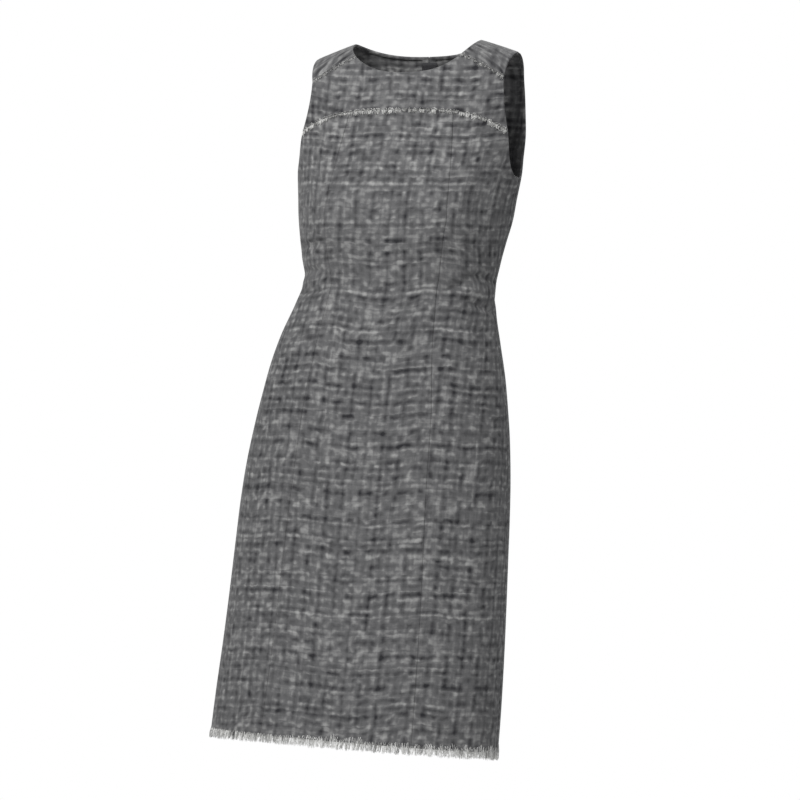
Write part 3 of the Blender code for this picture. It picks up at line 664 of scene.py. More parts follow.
def yarn_rows(f, along, over, pitch, thick, dash, cut, stray, between):
    """Dashes of thick yarn in rows: 0 to 1.

    along runs with the yarn and over across the rows.  stray is how far a row
    strays from even places, and between is the strength of every other row.
    """
    place = f.math("DIVIDE", over, pitch)
    row = f.math("FLOOR", place)
    inside = f.math("SUBTRACT", place, row)
    lot = f.node("ShaderNodeTexWhiteNoise", noise_dimensions="1D")
    f.feed(lot, W=f.math("ADD", row, ROW_LOT * pitch))
    drawn = f.split(lot.outputs["Color"])
    middle = f.math("MULTIPLY_ADD", drawn[0], stray, 0.5 - stray / 2)
    away = f.math("ABSOLUTE", f.math("SUBTRACT", inside, middle))
    profile = f.smooth(f.math("MULTIPLY", away, pitch / thick), *YARN_FADE, 1.0, 0.0)
    run = f.math("MULTIPLY_ADD", drawn[1], DASH_LOT, f.math("DIVIDE", along, dash))
    waves = f.noise(f.point(run, f.math("MULTIPLY", row, WAVE_LOT)), 1.0, 1.0)["Fac"]
    there = f.smooth(waves, cut - DASH_FADE, cut + DASH_FADE)
    strength = f.math("MULTIPLY_ADD", drawn[2], 1 - WEAKEST_ROW, WEAKEST_ROW)
    odd = f.math("FLOORED_MODULO", row, 2.0)
    strength = f.math("MULTIPLY", strength, f.math("MULTIPLY_ADD", odd, between - 1.0, 1.0))
    return f.math("MULTIPLY", f.math("MULTIPLY", profile, there), strength)


def tweed(colours):
    """Slubby check tweed: broken dark lines both ways over a mixed grey ground."""
    f = Finish("checked_tweed")
    u, v = (f.math("MULTIPLY", place, 1 / MM) for place in f.uv("cloth"))
    for scale, *reach in YARN_DRIFT:
        drift = f.split(f.noise(f.point(u, v), scale)["Color"])
        u, v = (f.math("MULTIPLY_ADD", f.math("SUBTRACT", drift[k], 0.5), reach[k], place)
                for k, place in enumerate((u, v)))
    patches = f.noise(f.point(u, v), *PATCHES)["Fac"]
    fibres = f.noise(f.point(u, v), *FIBRES)["Fac"]
    level = f.math("MULTIPLY_ADD", f.math("SUBTRACT", patches, 0.5), PATCH_SHARE, MEAN_SHADE)
    level = f.math("MULTIPLY_ADD", f.math("SUBTRACT", fibres, 0.5), FIBRE_SHARE, level)
    waves = [f.math("SINE", f.math("MULTIPLY", place, 2 * math.pi / pitch))
             for place, pitch in zip((u, v), WEAVE_PITCH)]
    height = f.math("MULTIPLY_ADD", f.math("MULTIPLY", *waves), WEAVE_RAISED, fibres)
    for way, *shape, lightens, raises in YARN_LAYERS:
        along, over = (u, v) if way == WEFT else (v, u)
        layer = yarn_rows(f, along, over, *shape)
        level = f.math("MULTIPLY_ADD", layer, lightens, level)
        height = f.math("MULTIPLY_ADD", layer, raises, height)
    colour = f.ramp(level, (
        (0.0, colours.dark), (0.27, half_way(colours.dark, colours.ground)),
        (0.5, colours.ground), (0.74, half_way(colours.light, colours.ground)),
        (1.0, colours.light)))
    f.bump(height, 0.6 * MM, 0.5)
    f.set(Base_Color=colour, Roughness=0.93, Sheen_Weight=0.12, Sheen_Roughness=0.5,
          Specular_IOR_Level=0.2)


def yarn_ends(colours):
    """Loose yarn ends, each lighter or darker than its neighbours."""
    f = Finish("frayed_yarn")
    shade, along = f.uv("yarn")
    colour = f.ramp(f.math("MULTIPLY_ADD", along, 0.12, shade), (
        (0.0, colours.dark), (0.22, colours.ground),
        (0.5, half_way(colours.ends, colours.ground)), (0.8, colours.ends), (1.0, BLEACHED)))
    twist = f.math("SINE", f.math("MULTIPLY_ADD", shade, 40.0, f.math("MULTIPLY", along, 70.0)))
    f.bump(twist, 0.15 * MM, 0.5)
    f.set(Base_Color=colour, Roughness=0.95, Sheen_Weight=0.15, Specular_IOR_Level=0.2)


def zip_cloth():
    """Dark tape with a fine twill, and the coil sewn to it."""
    f = Finish("zip_twill")
    place = f.object_place()
    x, _, z = f.split(place)
    twill = f.math("SINE", f.math("MULTIPLY", f.math("ADD", x, z), 2 * math.pi / (0.9 * MM)))
    fibres = f.noise(place, 900.0, 3.0)["Fac"]
    colour = f.ramp(f.math("MULTIPLY_ADD", twill, 0.2, fibres),
                    ((0.2, (0.012, 0.012, 0.014)), (0.8, (0.05, 0.05, 0.055))))
    f.bump(twill, 0.1 * MM, 0.4)
    f.set(Base_Color=colour, Roughness=0.8)


def dark_metal(colours):
    """Lacquered metal, worn a little unevenly."""
    f = Finish("lacquered_metal")
    worn = f.noise(f.object_place(), 700.0, 4.0)["Fac"]
    f.set(Base_Color=(*colours.metal, 1.0), Metallic=0.9, Coat_Weight=0.3,
          Roughness=f.smooth(worn, 0.3, 0.7, 0.28, 0.42))


# ---- cloth pieces

BEYOND = 0.45 * MM             # how far a turned edge bulges past its last row
PRESSED = 0.27 * MM            # how far seam edges press into each other
EDGE_DEPTHS = (0.26 * MM, 0.09 * MM, 0.02 * MM)    # of the first rows of the face
TURNED_ROWS = 5                # rows of cloth turned under at an edge
FACE, BEND, UNDER = range(3)   # where a row of cloth is


def settle(piece, body, replaces):
    """What every finished piece gets: its body and what it stands for."""
    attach(piece, body)
    if replaces:
        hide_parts(*replaces)


def new_piece(name, points, faces, material, replaces=()):
    mesh = bpy.data.meshes.new(name)
    mesh.from_pydata([tuple(p) for p in points], [], [tuple(int(i) for i in f) for f in faces])
    mesh.update()
    mesh.materials.append(bpy.data.materials[material])
    mesh.shade_smooth()
    piece = bpy.data.objects.new(name, mesh)
    bpy.context.scene.collection.objects.link(piece)
    settle(piece, "dress", replaces)
    return piece


def thicken(piece, thickness):
    solid = piece.modifiers.new("thickness", "SOLIDIFY")
    solid.thickness = thickness
    solid.offset = 0.0


def lay_uv(piece, name, places):
    """Add a UV map.  places has one row for each corner of each face."""
    piece.data.uv_layers.new(name=name).data.foreach_set("uv", places.ravel())


def edge_plan(count, folded, fold_depth):
    """Source row, sink and place of each row, with more rows at a folded end."""
    rows = list(range(count))
    sink = [0.0] * count
    where = [FACE] * count
    turned = TURNED_ROWS + 1
    if folded[0]:
        sink[:3] = EDGE_DEPTHS
        rows = rows[TURNED_ROWS::-1] + [0] + rows
        sink = [fold_depth] * turned + [fold_depth / 2] + sink
        where = [UNDER] * turned + [BEND] + where
    if folded[1]:
        sink[-3:] = EDGE_DEPTHS[::-1]
        rows = rows + [count - 1] + rows[:-turned - 1:-1]
        sink = sink + [fold_depth / 2] + [fold_depth] * turned
        where = where + [BEND] + [UNDER] * turned
    return np.array(rows), np.array(sink), np.array(where)


def edge_ways(points, axis):
    """Directions past the first and last rows of a grid, and zero between them."""
    ways = np.zeros(points.shape)
    rows, way = np.moveaxis(points, axis, 0), np.moveaxis(ways, axis, 0)
    way[0] = unit(rows[0] - rows[1])
    way[-1] = unit(rows[-1] - rows[-2])
    return ways


def cloth_piece(name, grid, cad_node, sizes):
    """One cut piece as a thin sheet.  Its edges turn under, all but the raw hem."""
    ends, sides = (True, name == "tweed_yoke"), (True, True)
    grid = finer_at_edges(grid)
    turn, number = grid[..., 0], grid[..., 1]
    points = surface(turn, number)
    out = slopes(turn, number)[2]
    inner = BEYOND + sizes.cloth / 2 - PRESSED
    for axis, folded in enumerate((ends, sides)):
        way = np.moveaxis(edge_ways(points, axis), axis, 0)
        row = np.moveaxis(points, axis, 0)
        row[0] -= folded[0] * inner * way[0]
        row[-1] -= folded[1] * inner * way[-1]
    points = points - out * crease_depth(points, sizes.crease)[..., None]
    rows, row_sink, row_where = edge_plan(grid.shape[0], ends, sizes.fold_depth)
    columns, column_sink, column_where = edge_plan(grid.shape[1], sides, sizes.fold_depth)
    pick = np.ix_(rows, columns)
    placed = points[pick]
    placed += edge_ways(points, 0)[pick] * (BEYOND * (row_where == BEND))[:, None, None]
    placed += edge_ways(points, 1)[pick] * (BEYOND * (column_where == BEND))[None, :, None]
    sink = np.maximum(row_sink[:, None], column_sink[None, :]) + sizes.cloth / 2
    placed -= out[pick] * sink[..., None]
    row, column = np.nonzero(kept_cells(row_where, column_where))
    wide = len(columns)
    corner = row * wide + column
    faces = np.stack([corner, corner + wide, corner + wide + 1, corner + 1], -1)
    used, faces = np.unique(faces, return_inverse=True)
    faces = faces.reshape(-1, 4)
    piece = new_piece(name, placed.reshape(-1, 3)[used], faces, "checked_tweed",
                      replaces=(cad_node,))
    flat = np.stack(flat_place(turn, number), -1)[pick].reshape(-1, 2)
    lay_uv(piece, "cloth", flat[used][faces.ravel()])
    thicken(piece, sizes.cloth)
    declare_cut(points, ends, sides)


def kept_cells(row_where, column_where):
    """Cells of the sheet that are cloth: where two turned edges cross, one goes."""
    rows = np.maximum(row_where[:-1], row_where[1:])[:, None]
    columns = np.maximum(column_where[:-1], column_where[1:])[None]
    return ~((rows == UNDER) & (columns >= BEND) | (rows >= BEND) & (columns == UNDER))


TURN_READINGS = 120
NUMBER_READINGS = 16 * HEM
BELOW_ONE = 0.999999
BACK_CHECK_SHIFT = 0.37        # where the back's weave starts, in metres of cloth


def steps(points, axis=0):
    """Distances from each point of a grid to the next."""
    return np.linalg.norm(np.diff(points, axis=axis), axis=-1)


def flat_tables():
    """Lengths on the cloth from the middle out, and along from the back hem."""
    turns = np.radians(spread(-90, 90, TURN_READINGS))
    numbers = spread(-HEM, HEM, NUMBER_READINGS)
    points = surface(*np.meshgrid(turns, numbers, indexing="ij"))
    out = np.pad(np.cumsum(steps(points, 0), axis=0), ((1, 0), (0, 0)))
    along = np.pad(np.cumsum(steps(points, 1), axis=1), ((0, 0), (1, 0)))
    return out - out[TURN_READINGS // 2], along


FLAT_OUT, FLAT_ALONG = flat_tables()


def read_table(table, turn, number):
    row = np.clip((np.degrees(turn) + 90) / 180, 0, BELOW_ONE) * TURN_READINGS
    column = np.clip((number + HEM) / (2 * HEM), 0, BELOW_ONE) * NUMBER_READINGS
    r, c = row.astype(int), column.astype(int)
    s, t = row - r, column - c
    return ((1 - s) * ((1 - t) * table[r, c] + t * table[r, c + 1])
            + s * ((1 - t) * table[r + 1, c] + t * table[r + 1, c + 1]))


def flat_place(turn, number):
    """Place on the flat cloth: across from the middle, and down from the underarm."""
    front = number.mean() > 0
    underarm = np.full(number.shape, float(UNDERARM_STATION if front else -UNDERARM_STATION))
    v = read_table(FLAT_ALONG, turn, number) - read_table(FLAT_ALONG, turn, underarm)
    return read_table(FLAT_OUT, turn, number), v if front else BACK_CHECK_SHIFT - v


def declare_cut(points, ends, sides):
    """Work out how large the flat piece was, with the cloth that its edges turn under; nothing of
    it is kept.
    """
    over, along = steps(points, 1), steps(points, 0)
    at_sides = over[:, :TURNED_ROWS].sum(axis=1), over[:, -TURNED_ROWS:].sum(axis=1)
    at_ends = along[:TURNED_ROWS].sum(axis=0), along[-TURNED_ROWS:].sum(axis=0)
    wide = over.sum(axis=1) + sides[0] * at_sides[0] + sides[1] * at_sides[1]
    long = along.sum(axis=0) + ends[0] * at_ends[0] + ends[1] * at_ends[1]
    cells = (over[1:] + over[:-1]) / 2 * (along[:, 1:] + along[:, :-1]) / 2
    area = cells.sum() + (wide - over.sum(axis=1)).mean() * long.mean()
    area += (long - along.sum(axis=0)).mean() * wide.mean()


# ---- yarn ends

STRAND_RINGS = 5
STRAND_SIDES = 3
STRAND_TAPER = 0.55
SIDE_HINT = (0.31, 0.2, 0.93)  # no yarn runs this way
LINE_READINGS = 40             # per point of a line


def tube_points(spine, side, other, sides):
    """Points of a ring round each point of a spine.  side and other are its half axes."""
    angles = (2 * np.pi * np.arange(sides) / sides)[:, None]
    return (spine[..., None, :] + np.cos(angles) * side[..., None, :]
            + np.sin(angles) * other[..., None, :]).reshape(-1, 3)


def tube_faces(rings, sides):
    """Faces along a tube of rings, and the two that close its ends."""
    low = np.arange((rings - 1) * sides)
    after = low - low % sides + (low + 1) % sides
    quads = np.stack([low, after, after + sides, low + sides], -1)
    last = (rings - 1) * sides
    return quads, np.array([np.arange(sides)[::-1], np.arange(last, last + sides)])


def strands_mesh(name, roots, tips, bends, thick, shades, cad_node):
    """Many yarn ends as one mesh: each a thin tube from its root to its tip.

    bends is where the middle of each yarn is pulled to, from the straight.
    """
    count = len(roots)
    t = np.linspace(0, 1, STRAND_RINGS)[None, :, None]
    spine = roots[:, None] * (1 - t) + tips[:, None] * t + bends[:, None] * 4 * t * (1 - t)
    direction = unit(np.gradient(spine, axis=1))
    side = unit(np.cross(direction, np.array(SIDE_HINT)))
    width = thick[:, None, None] / 2 * (1 - STRAND_TAPER * t**2)
    points = tube_points(spine, side * width, np.cross(direction, side) * width, STRAND_SIDES)
    per = STRAND_RINGS * STRAND_SIDES
    first = per * np.arange(count)[:, None, None]
    quads, caps = (faces + first for faces in tube_faces(STRAND_RINGS, STRAND_SIDES))
    quads, caps = quads.reshape(-1, 4), caps.reshape(-1, STRAND_SIDES)
    piece = new_piece(name, points, [*quads, *caps], "frayed_yarn",
                      replaces=(cad_node,))
    along = np.tile(np.repeat(np.linspace(0, 1, STRAND_RINGS), STRAND_SIDES), count)
    order = np.concatenate([quads.ravel(), caps.ravel()])
    lay_uv(piece, "yarn", np.stack([np.repeat(shades, per), along], -1)[order])


def read_line(line, shares):
    """Places on a line of (turn, number) at shares of its real length."""
    dense = np.linspace(0, len(line) - 1, LINE_READINGS * len(line))
    fine = np.stack([np.interp(dense, np.arange(len(line)), line[:, k]) for k in (0, 1)], -1)
    length = np.concatenate([[0.0], np.cumsum(steps(surface(*fine.T)))])
    goal = np.asarray(shares) * length[-1]
    read = np.stack([np.interp(goal, length, fine[:, k]) for k in (0, 1)], -1)
    return read, length[-1]


def on_cloth(places, sizes):
    """Points of the creased cloth, and its directions across, along and out."""
    turn, number = places.T
    points = surface(turn, number)
    over, down, out = slopes(turn, number)
    return points - out * crease_depth(points, sizes.crease)[:, None], over, down, out


def clumps(count, pitch, length, draw):
    """For yarn ends at places along a length, their clump's number and pull."""
    middles = []
    place = 0.0
    while place < length:
        middles.append(place)
        place += pitch * draw.uniform(0.6, 1.5)
    middles = np.array(middles)
    places = (np.arange(count) + draw.uniform(0, 1, count)) / count * length
    clump = np.abs(places[:, None] - middles[None]).argmin(axis=1)
    return places, clump, middles[clump] - places, len(middles)


# ---- operators

class DRESS_OT_front(bpy.types.Operator):
    """Make the yoke and the three front panels"""
    bl_idname = "dress.front"
    bl_label = "Front pieces"

    def execute(self, context):
        sizes = context.scene.dress_sizes
        side = side_grid()
        cloth_piece("tweed_yoke", yoke_grid(), "front_yoke",
                    sizes)
        cloth_piece("tweed_front_centre", centre_grid(), "front_centre", sizes)
        cloth_piece("tweed_front_left", side, "front_side_left", sizes)
        cloth_piece("tweed_front_right", mirrored(side)[:, ::-1], "front_side_right",
                    sizes)
        return {"FINISHED"}


class DRESS_OT_back(bpy.types.Operator):
    """Make the two back panels"""
    bl_idname = "dress.back"
    bl_label = "Back pieces"

    def execute(self, context):
        sizes = context.scene.dress_sizes
        half = back_grid()
        cloth_piece("tweed_back_left", half[:, ::-1], "back_left", sizes)
        cloth_piece("tweed_back_right", mirrored(half), "back_right", sizes)
        return {"FINISHED"}


HEM_SPACING = 0.26 * MM        # of the hem for each yarn end
HEM_CLUMPS = 3.4 * MM
HEM_TUFTS = 9 * MM             # distance of the readings of the uneven fullness
HEM_READINGS = 120
OUTERMOST = 0.1 * MM           # yarn ends less deep than this show on the cloth
HIGH_FROM, HIGH_OVER = -0.17, 0.08     # X past which they start higher
SEAM_SPACING = 0.25 * MM
SEAM_CLUMPS = 8.5 * MM
SEAM_MARGIN = 0.004            # bare share at each end of a seam
HEADING_READINGS = 200
FULL_END = 10 * MM             # a seam's fringe is full this near its ends
UPWARD_SHARE = 0.22
# dark yarn ends of a seam fringe: partly the tweed's own dark yarns, partly a painted shadow, a
# line of dark strands reaching past the pale ones just below the seam
DARK_ENDS_AND_PAINTED_SHADOW_SHARE = 0.16
DARK_ENDS_AND_PAINTED_SHADOW_SHADE = 0.06
DARK_ENDS_AND_PAINTED_SHADOW_LONGER = 1.6 * MM


class DRESS_OT_hem_fringe(bpy.types.Operator):
    """Make the frayed yarn ends below the hem"""
    bl_idname = "dress.hem_fringe"
    bl_label = "Hem fringe"

    def execute(self, context):
        sizes = context.scene.dress_sizes
        draw = np.random.default_rng(11)
        turns = spread(-np.pi / 2, np.pi / 2, HEM_READINGS)
        front = np.stack([turns, np.full(len(turns), float(HEM))], -1)
        halves = [hem_strands(line, sizes, draw) for line in (front, front[::-1] * (1, -1))]
        strands_mesh("yarn_ends_hem", *map(np.concatenate, zip(*halves)), "fringe_hem")
        return {"FINISHED"}


def hem_strands(line, sizes, draw):
    """Roots, tips, bends, thicknesses and shades of the yarn ends below a hem line."""
    length = read_line(line, [1.0])[1]
    count = int(length / HEM_SPACING)
    places, clump, pull, total = clumps(count, HEM_CLUMPS, length, draw)
    read = read_line(line, places / length)[0]
    points, over, down, out = on_cloth(read, sizes)
    facing = np.sign(read[:, 1:])
    over, down = over * facing, down * facing
    depth = draw.uniform(-0.45, 1.2, count) * MM
    rise = draw.uniform(0.3, 2.8, count) * MM
    knots = np.linspace(0, length, int(length / HEM_TUFTS))
    tuft = np.interp(places, knots, draw.normal(0, 1, len(knots)))
    high = np.clip((points[:, 0] - HIGH_FROM) / HIGH_OVER, 0, 1) * np.clip(1 + 0.5 * tuft, 0, 2)
    rise += np.where(depth < OUTERMOST, 1.6 * high * rise, 0.0)
    root = points - out * depth[:, None] - down * rise[:, None]
    share = draw.uniform(0.78, 1.0, total)[clump] * draw.uniform(0.72, 1.0, count)
    lean = draw.normal(0, 0.10, total)[clump] + draw.normal(0, 0.13, count)
    kick = draw.normal(0.02, 0.05, total)[clump] + draw.normal(0, 0.07, count)
    reach = sizes.hem_fringe * share
    tip = (points - out * depth[:, None] + down * reach[:, None]
           + over * (0.55 * pull + lean * reach)[:, None] + out * (kick * reach)[:, None])
    bend = (over * draw.normal(0, 0.8, (count, 1)) + out * draw.normal(0, 0.5, (count, 1))) * MM
    shade = (0.80 + 0.12 * tuft + draw.normal(0, 0.13, total)[clump]
             + draw.normal(0, 0.12, count))
    thick = sizes.yarn * draw.uniform(0.7, 1.25, count)
    return root, tip, bend, thick, np.clip(shade, 0, 1)


class DRESS_OT_seam_fringes(bpy.types.Operator):
    """Make the frayed edges along the yoke seam and the shoulder seams"""
    bl_idname = "dress.seam_fringes"
    bl_label = "Seam fringes"

    def execute(self, context):
        # name, seam line, CAD node, seed and fullness
        seams = (
            ("yarn_ends_yoke", yoke_edge(), "fringe_yoke", 3, 1.0),
            ("yarn_ends_shoulder_left", SHOULDER_SEAM, "fringe_shoulder_left", 5, 0.7),
            ("yarn_ends_shoulder_right", mirrored(SHOULDER_SEAM), "fringe_shoulder_right", 7, 0.5),
        )
        for name, line, node, seed, share in seams:
            seam_strands(name, line, node, context.scene.dress_sizes, seed, share)
        return {"FINISHED"}


def seam_strands(name, line, node, sizes, seed, share):
    """Yarn ends that lie on the cloth below a seam, thick here and thin there."""
    draw = np.random.default_rng(seed)
    length = read_line(line, [1.0])[1]
    count = int(length / SEAM_SPACING * share)
    places, clump, pull, total = clumps(count, SEAM_CLUMPS, length, draw)
    read = read_line(line, SEAM_MARGIN + (1 - 2 * SEAM_MARGIN) * places / length)[0]
    points, _, _, out = on_cloth(read, sizes)
    dense = surface(*read_line(line, np.linspace(0, 1, HEADING_READINGS))[0].T)
    heading = unit(np.gradient(dense, axis=0))
    along = heading[(places / length * (HEADING_READINGS - 1)).astype(int)]
    down = unit(np.cross(along, out))
    down = np.where(down[:, 2:] > 0, -down, down)
    fullness = share * draw.uniform(0.15, 1.0, total)[clump] ** 1.3
    from_end = np.minimum(places, length - places)
    fullness = np.maximum(fullness, share * np.clip(1.5 - from_end / FULL_END, 0, 1))
    upward = draw.uniform(0, 1, count) < UPWARD_SHARE
    reach = sizes.seam_fringe * (0.45 + 0.55 * fullness) * draw.uniform(0.6, 1.0, count)
    reach = np.where(upward, -0.3 * reach, reach)
    lean = draw.normal(0, 0.3, count)
    root = points + out * draw.uniform(-0.9, 0.1, (count, 1)) * MM
    lift = draw.uniform(0.5, 2.0, count) * MM
    tip = (points + down * reach[:, None] + along * (0.6 * pull + lean * np.abs(reach))[:, None]
           + out * lift[:, None])
    bend = (out * draw.uniform(0.1, 0.9, (count, 1))
            + along * draw.normal(0, 0.6, (count, 1))) * MM
    shade = 0.46 + 0.38 * fullness + draw.normal(0, 0.12, count)
    # some strands are dark: the tweed's dark yarn ends, and also painted shadow, reaching lower
    # than the pale ones to darken the cloth just under the fringe
    dark_end_and_painted_shadow = draw.uniform(0, 1, count) < DARK_ENDS_AND_PAINTED_SHADOW_SHARE
    shade = np.where(dark_end_and_painted_shadow, DARK_ENDS_AND_PAINTED_SHADOW_SHADE, shade)
    tip += down * np.where(dark_end_and_painted_shadow & ~upward, DARK_ENDS_AND_PAINTED_SHADOW_LONGER, 0.0)[:, None]
    thick = sizes.yarn * draw.uniform(0.6, 1.2, count)
    strands_mesh(name, root, tip, bend, thick, np.clip(shade, 0, 1), node)


# ---- zip

TAPE_ROWS = 110
TAPE_COLUMNS = 8
TAPE_THICK = 0.5 * MM
COIL_PITCH = 1.5 * MM
COIL_BELOW = 7 * MM            # from the tape's top to the coil's
COIL_SHORTER = 11 * MM         # than the tape
COIL_DEPTH = 4.9 * MM          # under the surface
COIL_SHIFT = 0.8 * MM          # each half's middle from the middle of the zip
COIL_REACH = (1.4 * MM, 0.5 * MM)
COIL_WIRE = 0.27 * MM
COIL_READINGS = 8              # per turn
COIL_SIDES = 4
SLIDER_SIZE = (5.0 * MM, 9.0 * MM, 1.1 * MM)
SLIDER_PLACE = (0.0, -0.25 * MM, -1.5 * MM)
SLIDER_TAPER = 0.62
ARCH_RADIUS = 1.55 * MM
ARCH_WIRE = 0.5 * MM
PULL_LENGTH = 22 * MM
PULL_HALF_WIDTH = 3.0 * MM
PULL_NARROW = 0.8              # width at the eye, as a share
PULL_THICK = 0.9 * MM
EYE_HALF_WIDTH = 1.4 * MM
EYE_LENGTH = 5.5 * MM
EYE_BAR = 0.5 * MM


def pivot_frame():
    """Frame of the zip's pull: X across, Y up along the cloth, Z straight out."""
    number = number_at(np.array(PIVOT_HEIGHT), back=True, x=0.0)
    over, up, out = slopes(np.array(0.0), number)
    place = surface(np.array(0.0), number) + out * PIVOT_OUT
    return Matrix((*np.stack([-over, up, out, place], -1).tolist(), (0, 0, 0, 1)))


def zip_coil(side):
    """Half of the closed zip's coil, along the inside of the tape."""
    turns = int((ZIP_TOP - ZIP_END - COIL_SHORTER) / COIL_PITCH)
    height = np.linspace(ZIP_TOP - COIL_BELOW, ZIP_END + COIL_SHORTER - COIL_BELOW,
                         turns * COIL_READINGS)
    number = number_at(height, back=True, x=0.0)
    middle = np.zeros(number.shape)
    over, up, out = slopes(middle, number)
    phase = 2 * np.pi * np.arange(len(number)) / COIL_READINGS + (0 if side > 0 else np.pi)
    sideways = side * COIL_SHIFT + COIL_REACH[0] * np.cos(phase)
    outward = COIL_REACH[1] * np.sin(phase) - COIL_DEPTH
    spine = surface(middle, number) + over * sideways[:, None] + out * outward[:, None]
    direction = unit(np.gradient(spine, axis=0))
    first = unit(np.cross(direction, up))
    second = np.cross(direction, first)
    points = tube_points(spine, COIL_WIRE * first, COIL_WIRE * second, COIL_SIDES)
    quads, caps = tube_faces(len(spine), COIL_SIDES)
    new_piece("zip_coil_left" if side > 0 else "zip_coil_right", points, [*quads, *caps],
              "zip_twill")


def zip_tape():
    top, end = number_at(np.array([ZIP_TOP, ZIP_END]), back=True, x=0.0)
    wide = TAPE_COLUMNS + 1
    number = np.repeat(spread(top, end, TAPE_ROWS)[:, None], wide, axis=1)
    across_tape = spread(-ZIP_HALF_WIDTH, ZIP_HALF_WIDTH, TAPE_COLUMNS)
    turn = turn_at(np.broadcast_to(across_tape, number.shape), number)
    points = surface(turn, number) - slopes(turn, number)[2] * ZIP_DEPTH
    corner = (np.arange(TAPE_ROWS)[:, None] * wide + np.arange(TAPE_COLUMNS)[None]).ravel()
    faces = np.stack([corner, corner + 1, corner + wide + 1, corner + wide], -1)
    tape = new_piece("zip_tape_cloth", points.reshape(-1, 3), faces, "zip_twill",
                     replaces=("zip_tape",))
    thicken(tape, TAPE_THICK)


def choose(piece, chosen):
    """Select the vertices of a piece for which chosen is true."""
    bpy.ops.object.mode_set(mode="EDIT")
    bpy.ops.mesh.select_mode(type="VERT")
    bpy.ops.mesh.select_all(action="DESELECT")
    bpy.ops.object.mode_set(mode="OBJECT")
    for vertex in piece.data.vertices:
        vertex.select = chosen(vertex.co)
    bpy.ops.object.mode_set(mode="EDIT")


def finish_metal(piece, name, body, replaces):
    """Place a piece made at the pivot, and give it its finish."""
    bpy.ops.object.transform_apply(location=True, rotation=True, scale=True)
    piece.name = name
    piece.data.name = name
    piece.data.transform(pivot_frame())
    bpy.ops.object.shade_smooth_by_angle(angle=math.radians(40))
    piece.data.materials.append(bpy.data.materials["lacquered_metal"])
    settle(piece, body, replaces)


def zip_slider():
    """Tapered body with the ring that the pull's bar hangs in."""
    bpy.ops.mesh.primitive_cube_add(size=1)
    body = bpy.context.object
    bpy.ops.object.mode_set(mode="EDIT")
    bpy.ops.transform.resize(value=SLIDER_SIZE)
    choose(body, lambda co: co.y < 0)
    bpy.ops.transform.resize(value=(SLIDER_TAPER, 1, 1), center_override=(0, 0, 0))
    bpy.ops.mesh.select_all(action="SELECT")
    bpy.ops.mesh.bevel(offset=0.42 * MM, segments=3, affect="EDGES")
    bpy.ops.transform.translate(value=SLIDER_PLACE)
    bpy.ops.object.mode_set(mode="OBJECT")
    bpy.ops.mesh.primitive_torus_add(
        major_radius=ARCH_RADIUS, minor_radius=ARCH_WIRE, major_segments=36,
        minor_segments=12, rotation=(0, math.pi / 2, 0))
    bpy.ops.object.transform_apply(location=False, rotation=True, scale=False)
    bpy.ops.transform.resize(value=(1.5, 1, 1))
    body.select_set(True)
    bpy.context.view_layer.objects.active = body
    bpy.ops.object.join()
    finish_metal(body, "zip_slider_metal", "dress", ("zip_slider",))


def stretched_circle(radius, low, high, narrow):
    """In edit mode: a loop from low to high, round at both ends."""
    bpy.ops.mesh.select_all(action="DESELECT")
    bpy.ops.mesh.primitive_circle_add(vertices=40, radius=radius, location=(0, 0, 0))
    bpy.ops.object.mode_set(mode="OBJECT")
    mesh = bpy.context.object.data
    for vertex in mesh.vertices:
        if vertex.select:
            upper = vertex.co.y > 0
            vertex.co.x *= narrow if upper else 1.0
            vertex.co.y += high - radius if upper else low + radius
    bpy.ops.object.mode_set(mode="EDIT")


def zip_pull():
    """Flat tab with a round tip, and an eye whose bar hangs in the slider's ring."""
    mesh = bpy.data.meshes.new("zip_pull_metal")
    pull = bpy.data.objects.new("zip_pull_metal", mesh)
    bpy.context.scene.collection.objects.link(pull)
    bpy.ops.object.select_all(action="DESELECT")
    pull.select_set(True)
    bpy.context.view_layer.objects.active = pull
    bpy.ops.object.mode_set(mode="EDIT")
    stretched_circle(PULL_HALF_WIDTH, -PULL_LENGTH, EYE_BAR, PULL_NARROW)
    stretched_circle(EYE_HALF_WIDTH, -EYE_LENGTH, -EYE_BAR, 1.0)
    bpy.ops.mesh.select_all(action="SELECT")
    bpy.ops.mesh.bridge_edge_loops()
    bpy.ops.mesh.select_all(action="SELECT")
    bpy.ops.mesh.extrude_region_move(TRANSFORM_OT_translate={"value": (0, 0, PULL_THICK)})
    bpy.ops.mesh.select_all(action="SELECT")
    bpy.ops.mesh.normals_make_consistent(inside=False)
    bpy.ops.transform.translate(value=(0, 0, -PULL_THICK / 2))
    bpy.ops.mesh.select_mode(type="EDGE")
    bpy.ops.mesh.select_all(action="DESELECT")
    bpy.ops.mesh.edges_select_sharp(sharpness=math.radians(60))
    bpy.ops.mesh.bevel(offset=0.16 * MM, segments=2, affect="EDGES")
    bpy.ops.object.mode_set(mode="OBJECT")
    finish_metal(pull, "zip_pull_metal", "pull", ("zip_pull",))


class DRESS_OT_zip(bpy.types.Operator):
    """Make the closed zip with its tape, coil, slider and pull"""
    bl_idname = "dress.zip"
    bl_label = "Zip"

    def execute(self, context):
        zip_tape()
        zip_coil(1)
        zip_coil(-1)
        zip_slider()
        zip_pull()
        return {"FINISHED"}


class DRESS_OT_finishes(bpy.types.Operator):
    """Make the materials of the dress"""
    bl_idname = "dress.finishes"
    bl_label = "Finishes"

    def execute(self, context):
        colours = context.scene.dress_colours
        tweed(colours)
        yarn_ends(colours)
        zip_cloth()
        dark_metal(colours)
        return {"FINISHED"}


# ---- stage

